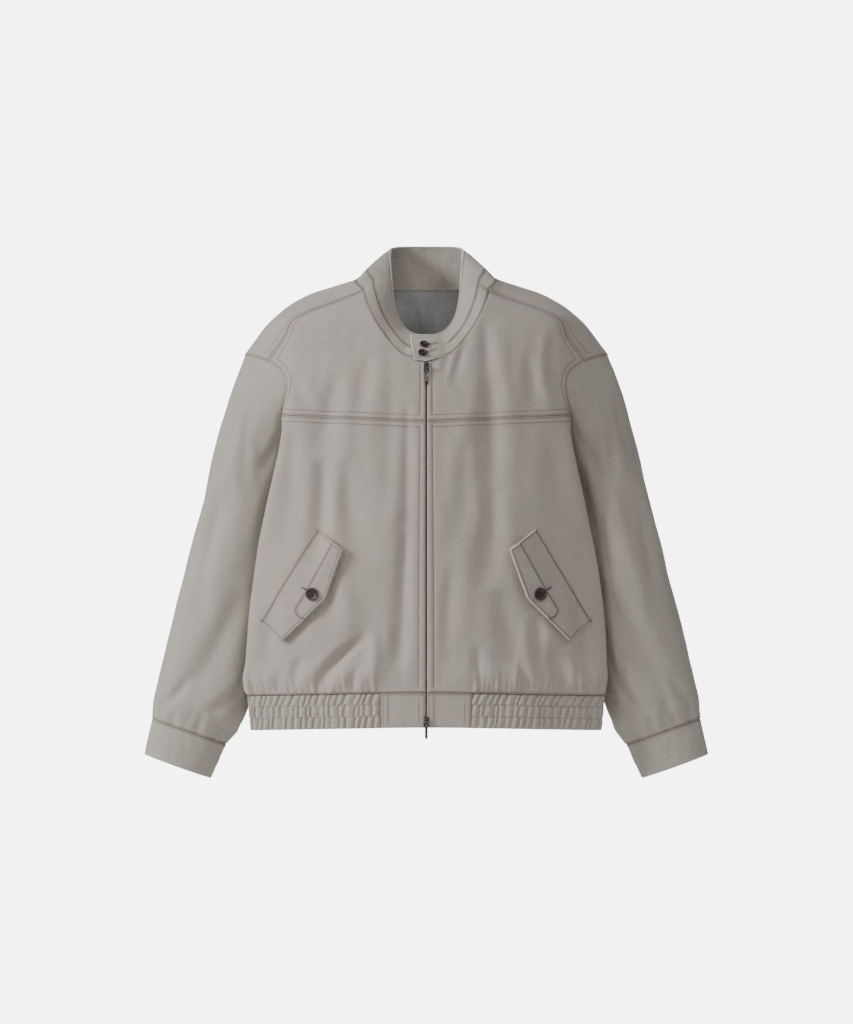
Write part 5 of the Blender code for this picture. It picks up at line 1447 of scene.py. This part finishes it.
pocketX, pocketHeight = buttonSizes["pocketPlace"]
pocketGirth = solveGirth(pocketHeight, pocketX, 0, 0, body["fold"])[0]
for side, sign, _ in bothSides:
    place = (np.array([sign * pocketGirth]), np.array([pocketHeight]))
    lift = flap["lift"] + flap["stripLift"] + float(flapRelief(*place)[0]) + buttonSizes["seat"]
    button = makeButton("pocketButton" + side, bodyPoints(*place, lift)[0], bodyNormal(*place)[0],
                        buttonSizes["pocket"], 0.3 * sign)
    dress(button, ["pocket_button_" + side.lower()])
seat = tab["ease"] + tab["thickness"] + buttonSizes["collarSeat"]
lean = Matrix.Rotation(math.radians(-buttonSizes["collarLean"]), 3, "X")
for level, x, up in buttonSizes["collarPlaces"]:
    share = collarShare(np.array([x]), np.array([up]))
    centre, under = collarFace(share, up, seat)[0], collarFace(share, up, seat - 1)[0]
    button = makeButton("collarButton" + level, centre, lean @ Vector(centre - under), buttonSizes["collar"],
                        0.2)
    dress(button, ["collar_button_" + level.lower()])
print("buttons made")


# zip tapes

zipSizes = {
    "top": -110.5, "bottom": -650.0, "tapeFrom": 1.9, "tapeTo": 14.0, "tape": 0.9, "behind": 2.74,
    "wave": 0.12,
    "toothPitch": 3.0, "toothWide": 3.3, "toothTall": 1.25, "toothDeep": 2.2, "toothInset": 0.8,
    "toothSunk": 0.2,
    "rows": 110, "columns": 6, "toothStart": 4,
}


def zipPoint(x, height, lift):
    return bodyPoints(centreGirth(height, x), height, lift)


for side, sign, _ in bothSides:
    heights = np.linspace(zipSizes["top"], zipSizes["bottom"], zipSizes["rows"])
    across = np.linspace(zipSizes["tapeFrom"], zipSizes["tapeTo"], zipSizes["columns"])
    rows = [zipPoint(x, heights, zipSizes["wave"] * math.sin(x * 2) - zipSizes["behind"]) for x in across]
    rows += [zipPoint(x, heights, -zipSizes["behind"] - zipSizes["tape"]) for x in across[::-1]]
    rows = np.array(rows) * (sign, 1, 1)
    tape = gridMesh("zipTape" + side, rows, tapeWeave, 0 * rows[..., :2], {}, False)
    if sign < 0:
        tape.data.flip_normals()
    dress(tape, ["zip_" + side.lower()])


# repeated parts by geometry nodes: stitches, bar tacks and zip teeth

partSizes = ("Along", "Across", "Thick")


def alignedTree(name, shape, **values):
    # instances along the rows of a mesh, turned to the row and to its outward direction
    tree = bpy.data.node_groups.new(name, "GeometryNodeTree")
    identifiers = {}
    for key, kind in (("Geometry", "Geometry"), ("Spacing", "Float"), *((key, "Float") for key in partSizes),
                      ("Material", "Material")):
        socket = tree.interface.new_socket(name=key, in_out="INPUT", socket_type="NodeSocket" + kind)
        identifiers[key] = socket.identifier
    tree.interface.new_socket(name="Geometry", in_out="OUTPUT", socket_type="NodeSocketGeometry")
    source, result, toCurve, spread, tangent, outward, alongRow, upRow, size, part, instance, real, finish = (
        tree.nodes.new(kind) for kind in (
            "NodeGroupInput", "NodeGroupOutput", "GeometryNodeMeshToCurve", "GeometryNodeResampleCurve",
            "GeometryNodeInputTangent", "GeometryNodeInputNamedAttribute",
            "FunctionNodeAlignRotationToVector",
            "FunctionNodeAlignRotationToVector", "ShaderNodeCombineXYZ", "GeometryNodeMesh" + shape,
            "GeometryNodeInstanceOnPoints", "GeometryNodeRealizeInstances", "GeometryNodeSetMaterial"))
    spread.mode = "LENGTH"
    outward.data_type = "FLOAT_VECTOR"
    outward.inputs["Name"].default_value = "rowNormal"
    alongRow.axis, upRow.axis, upRow.pivot_axis = "X", "Z", "X"
    for key, value in values.items():
        part.inputs[key].default_value = value
    for key, axis in zip(partSizes, "XYZ"):
        tree.links.new(source.outputs[key], size.inputs[axis])
    for start, out, end, into in (
            (source, "Geometry", toCurve, 0), (toCurve, 0, spread, "Curve"),
        (source, "Spacing", spread, "Length"),
            (spread, 0, instance, "Points"), (tangent, 0, alongRow, "Vector"),
        (alongRow, 0, upRow, "Rotation"),
            (outward, 0, upRow, "Vector"), (upRow, 0, instance, "Rotation"),
        (part, "Mesh", instance, "Instance"),
            (size, 0, instance, "Scale"), (instance, 0, real, 0), (real, 0, finish, "Geometry"),
            (source, "Material", finish, "Material"), (finish, 0, result, 0)):
        tree.links.new(start.outputs[out], end.inputs[into])
    return tree, identifiers


def spreadAlong(name, slot, runs, treeParts, material, *sizes):
    # sizes: the spacing and the part's three sizes
    tree, identifiers = treeParts
    edges, count = [], 0
    for run, _ in runs:
        edges += [(count + step, count + step + 1) for step in range(len(run) - 1)]
        count += len(run)
    mesh = bpy.data.meshes.new(name + "Rows")
    mesh.from_pydata((np.concatenate([points for points, _ in runs]) * mm).tolist(), edges, [])
    outward = np.concatenate([unit(np.asarray(normals, float)) for _, normals in runs])
    attribute = mesh.attributes.new("rowNormal", "FLOAT_VECTOR", "POINT")
    attribute.data.foreach_set("vector", outward.astype(np.float32).ravel())
    holder = addObject(name + "Rows", mesh)
    modifier = holder.modifiers.new("spread", "NODES")
    modifier.node_group = tree
    for key, value in zip(("Spacing", *partSizes), sizes):
        modifier[identifiers[key]] = value * mm
    modifier[identifiers["Material"]] = material
    plain = bpy.data.meshes.new_from_object(holder.evaluated_get(bpy.context.evaluated_depsgraph_get()))
    holder.modifiers.clear()
    bpy.data.objects.remove(holder, do_unlink=True)
    plain.name = name
    if "rowNormal" in plain.attributes:
        plain.attributes.remove(plain.attributes["rowNormal"])
    if not plain.materials:
        plain.materials.append(material)
    plain.shade_smooth()
    dress(addObject(name, plain), [])


stitchTree = alignedTree("stitchRows", "UVSphere", Segments=5, Rings=3, Radius=0.5)
toothTree = alignedTree("zipTeeth", "Cube")
print("stitch rows", round(sum(runLengths(run)[-1] for run, _ in stitchRuns) / 1000, 1), "m")
spreadAlong("stitching", "cloth", stitchRuns, stitchTree, thread, 3.3, 1.8, 1.1, 0.9)

holes = {
    # x and share of the collar's height at both ends of each slit
    "tab": (((2.6, 0.48), (17.0, 0.50)), ((0.4, 0.2), (16.0, 0.26))), "tabAcross": 0.055, "tabLift": 0.15,
    "flap": ((173.9, -450.0), (183.6, -444.6)), "flapAcross": 1.5, "flapLift": 0.1,
    "tack": 5.0, "tackShift": 0.6, "tackLift": 0.5,
}
holeRuns = []


def flapPoint(x, height, lift):
    girth = solveGirth(height, abs(x), 0, 0, body["fold"])
    raised = flap["lift"] + float(flapRelief(girth, np.array([height]))[0]) + lift
    mirror = (math.copysign(1, x), 1, 1)
    return bodyPoints(girth, np.array([height]), raised)[0] * mirror, bodyNormal(girth, height)[0] * mirror


def tabPoint(x, rise):
    share = collarShare(np.array([x]), np.array([rise]))
    lift = tabLift(np.interp(rise, (0, 0.9), tab["leftX"]) - x)[0] + holes["tabLift"]
    point = collarFace(share, rise, lift)[0]
    return point, collarFace(share, rise, lift + 1)[0] - point


def addRun(start, end, count, place):
    points, outward = zip(*(place(*(start + (end - start) * share)) for share in np.linspace(0, 1, count)))
    holeRuns.append((np.array(points), np.array(outward)))


# dark thread rows along each slit: buttonhole stitching that also stands in for the painted shade of the slit
for slit in holes["tab"]:
    start, end = np.array(slit)
    for shift in (-0.5, 0.5):
        across = np.array((0, shift * holes["tabAcross"]))
        addRun(start + across, end + across, 12, tabPoint)
for sign in (1, -1):
    def onFlap(x, height, lift=holes["tackLift"], way=sign):
        return flapPoint(way * x, height, lift)

    def onStrip(x, height, place=onFlap):
        return place(x, height, flap["stripLift"] + holes["flapLift"])

    # two close rows of cross stitches and a bar at each end
    start, end = np.array(holes["flap"])
    beside = leftOf(end - start) * holes["flapAcross"] / 2
    for first, last in ((start + beside, end + beside), (start - beside, end - beside),
                        (start - beside, start + beside), (end - beside, end + beside)):
        addRun(first, last, 7, onStrip)
    for corner, inward in ((sewnStart, 1), (sewnEnd, -1)):
        sunk = sewnAcross * holes["tackShift"] * np.sign(sewnAcross[0])
        middle = corner + sewnRun * inward * rowNear - sunk
        reach = sewnAcross * holes["tack"] / 2
        addRun(middle - reach, middle + reach, 6, onFlap)
spreadAlong("buttonholeStitches", "cloth", holeRuns, stitchTree, holeThread, 0.55, 0.6, 1.3, 0.7)
spreadAlong("buttonThread", "cloth", threadCrosses, stitchTree, thread, 0.5, 0.9, 0.7, 0.6)
pitch, deep = zipSizes["toothPitch"], zipSizes["toothDeep"]
for side, sign, shift in (("Left", 1, 0.0), ("Right", -1, 0.5)):
    heights = np.arange(zipSizes["top"] - zipSizes["toothStart"] - shift * pitch, zipSizes["bottom"] + 2,
                        -pitch)
    middle = zipPoint(zipSizes["tapeFrom"] - zipSizes["toothInset"], heights,
                      zipSizes["toothSunk"] - zipSizes["behind"] - deep / 2)
    spreadAlong("zipTeeth" + side, "zip_metal", [(middle * (sign, 1, 1), bodyNormal(0 * heights, heights))],
                toothTree,
                nickel, pitch, zipSizes["toothTall"], zipSizes["toothWide"], deep)
for node in ("slider_top", "slider_bottom", "pull_top", "pull_bottom"):
    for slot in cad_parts[node].material_slots:
        slot.material = nickel
print("stitches and zip made")


# floor, light and camera

stage = {
    "floor": -1.3, "reach": 2.0, "segments": 96, "paper": 0.86, "camera": (0.0003, -10.0, -0.333),
    "lens": 234.4,
    "clipEnd": 100, "sky": 0.08, "backdrop": 6.2, "aim": (0, 0, -0.33),
    # name, place, size, watts, colour
    "lamps": (("key", (-5.0, -2.0, 1.7), 1.5, 352, (1.0, 0.985, 0.965)),
              ("high", (-2.6, -3.6, 3.6), 1.8, 82, (1.0, 0.985, 0.965)),
              ("front", (0.2, -6.5, 0.2), 3.0, 36, (1.0, 1.0, 1.0)),
              ("right", (3.4, -3.2, 3.4), 2.4, 104, (1.0, 0.99, 0.98)),
              ("rear", (0.6, 4.6, 1.8), 3.0, 170, (1.0, 1.0, 1.0))),
}


def makeStage():
    floorMesh = bpy.data.meshes.new("studioFloor")
    rings = bmesh.new()
    bmesh.ops.create_circle(rings, cap_ends=True, segments=stage["segments"], radius=stage["reach"])
    rings.to_mesh(floorMesh)
    rings.free()
    floorMesh.transform(Matrix.Translation((0, 0, stage["floor"])))
    floorMesh.materials.append(newMaterial("studioPaper", Roughness=0.9,
                                           Base_Color=(*[stage["paper"]] * 3, 1))[0])
    addObject("studioFloor", floorMesh)


def makeWorld():
    world = bpy.data.worlds.new("studioWorld")
    world.use_nodes = True
    tree = world.node_tree
    light = tree.nodes["Background"]
    light.inputs["Strength"].default_value = stage["sky"]
    light.inputs["Color"].default_value = (1, 1, 1, 1)
    backdrop = addNode(tree, "Background", Strength=1.0, Color=(*[stage["backdrop"]] * 3, 1))
    mix = addNode(tree, "MixShader")
    for slot, source in enumerate((addNode(tree, "LightPath").outputs["Is Camera Ray"], light.outputs[0],
                                   backdrop.outputs[0])):
        tree.links.new(source, mix.inputs[slot])
    tree.links.new(mix.outputs[0], tree.nodes["World Output"].inputs[0])
    bpy.context.scene.world = world


def makeLamps():
    for name, place, size, watts, colour in stage["lamps"]:
        data = bpy.data.lights.new(name, "AREA")
        data.shape, data.size, data.energy, data.color = "DISK", size, watts, colour
        lamp = addObject(name, data)
        lamp.location = place
        lamp.rotation_euler = (Vector(stage["aim"]) - Vector(place)).to_track_quat("-Z", "Y").to_euler()


makeStage()
makeWorld()
makeLamps()
camera = addObject("camera", bpy.data.cameras.new("camera"))
camera.data.lens, camera.data.clip_end = stage["lens"], stage["clipEnd"]
camera.location = stage["camera"]
camera.rotation_euler = (math.radians(90), 0, 0)
bpy.context.scene.camera = camera
print("stage made")
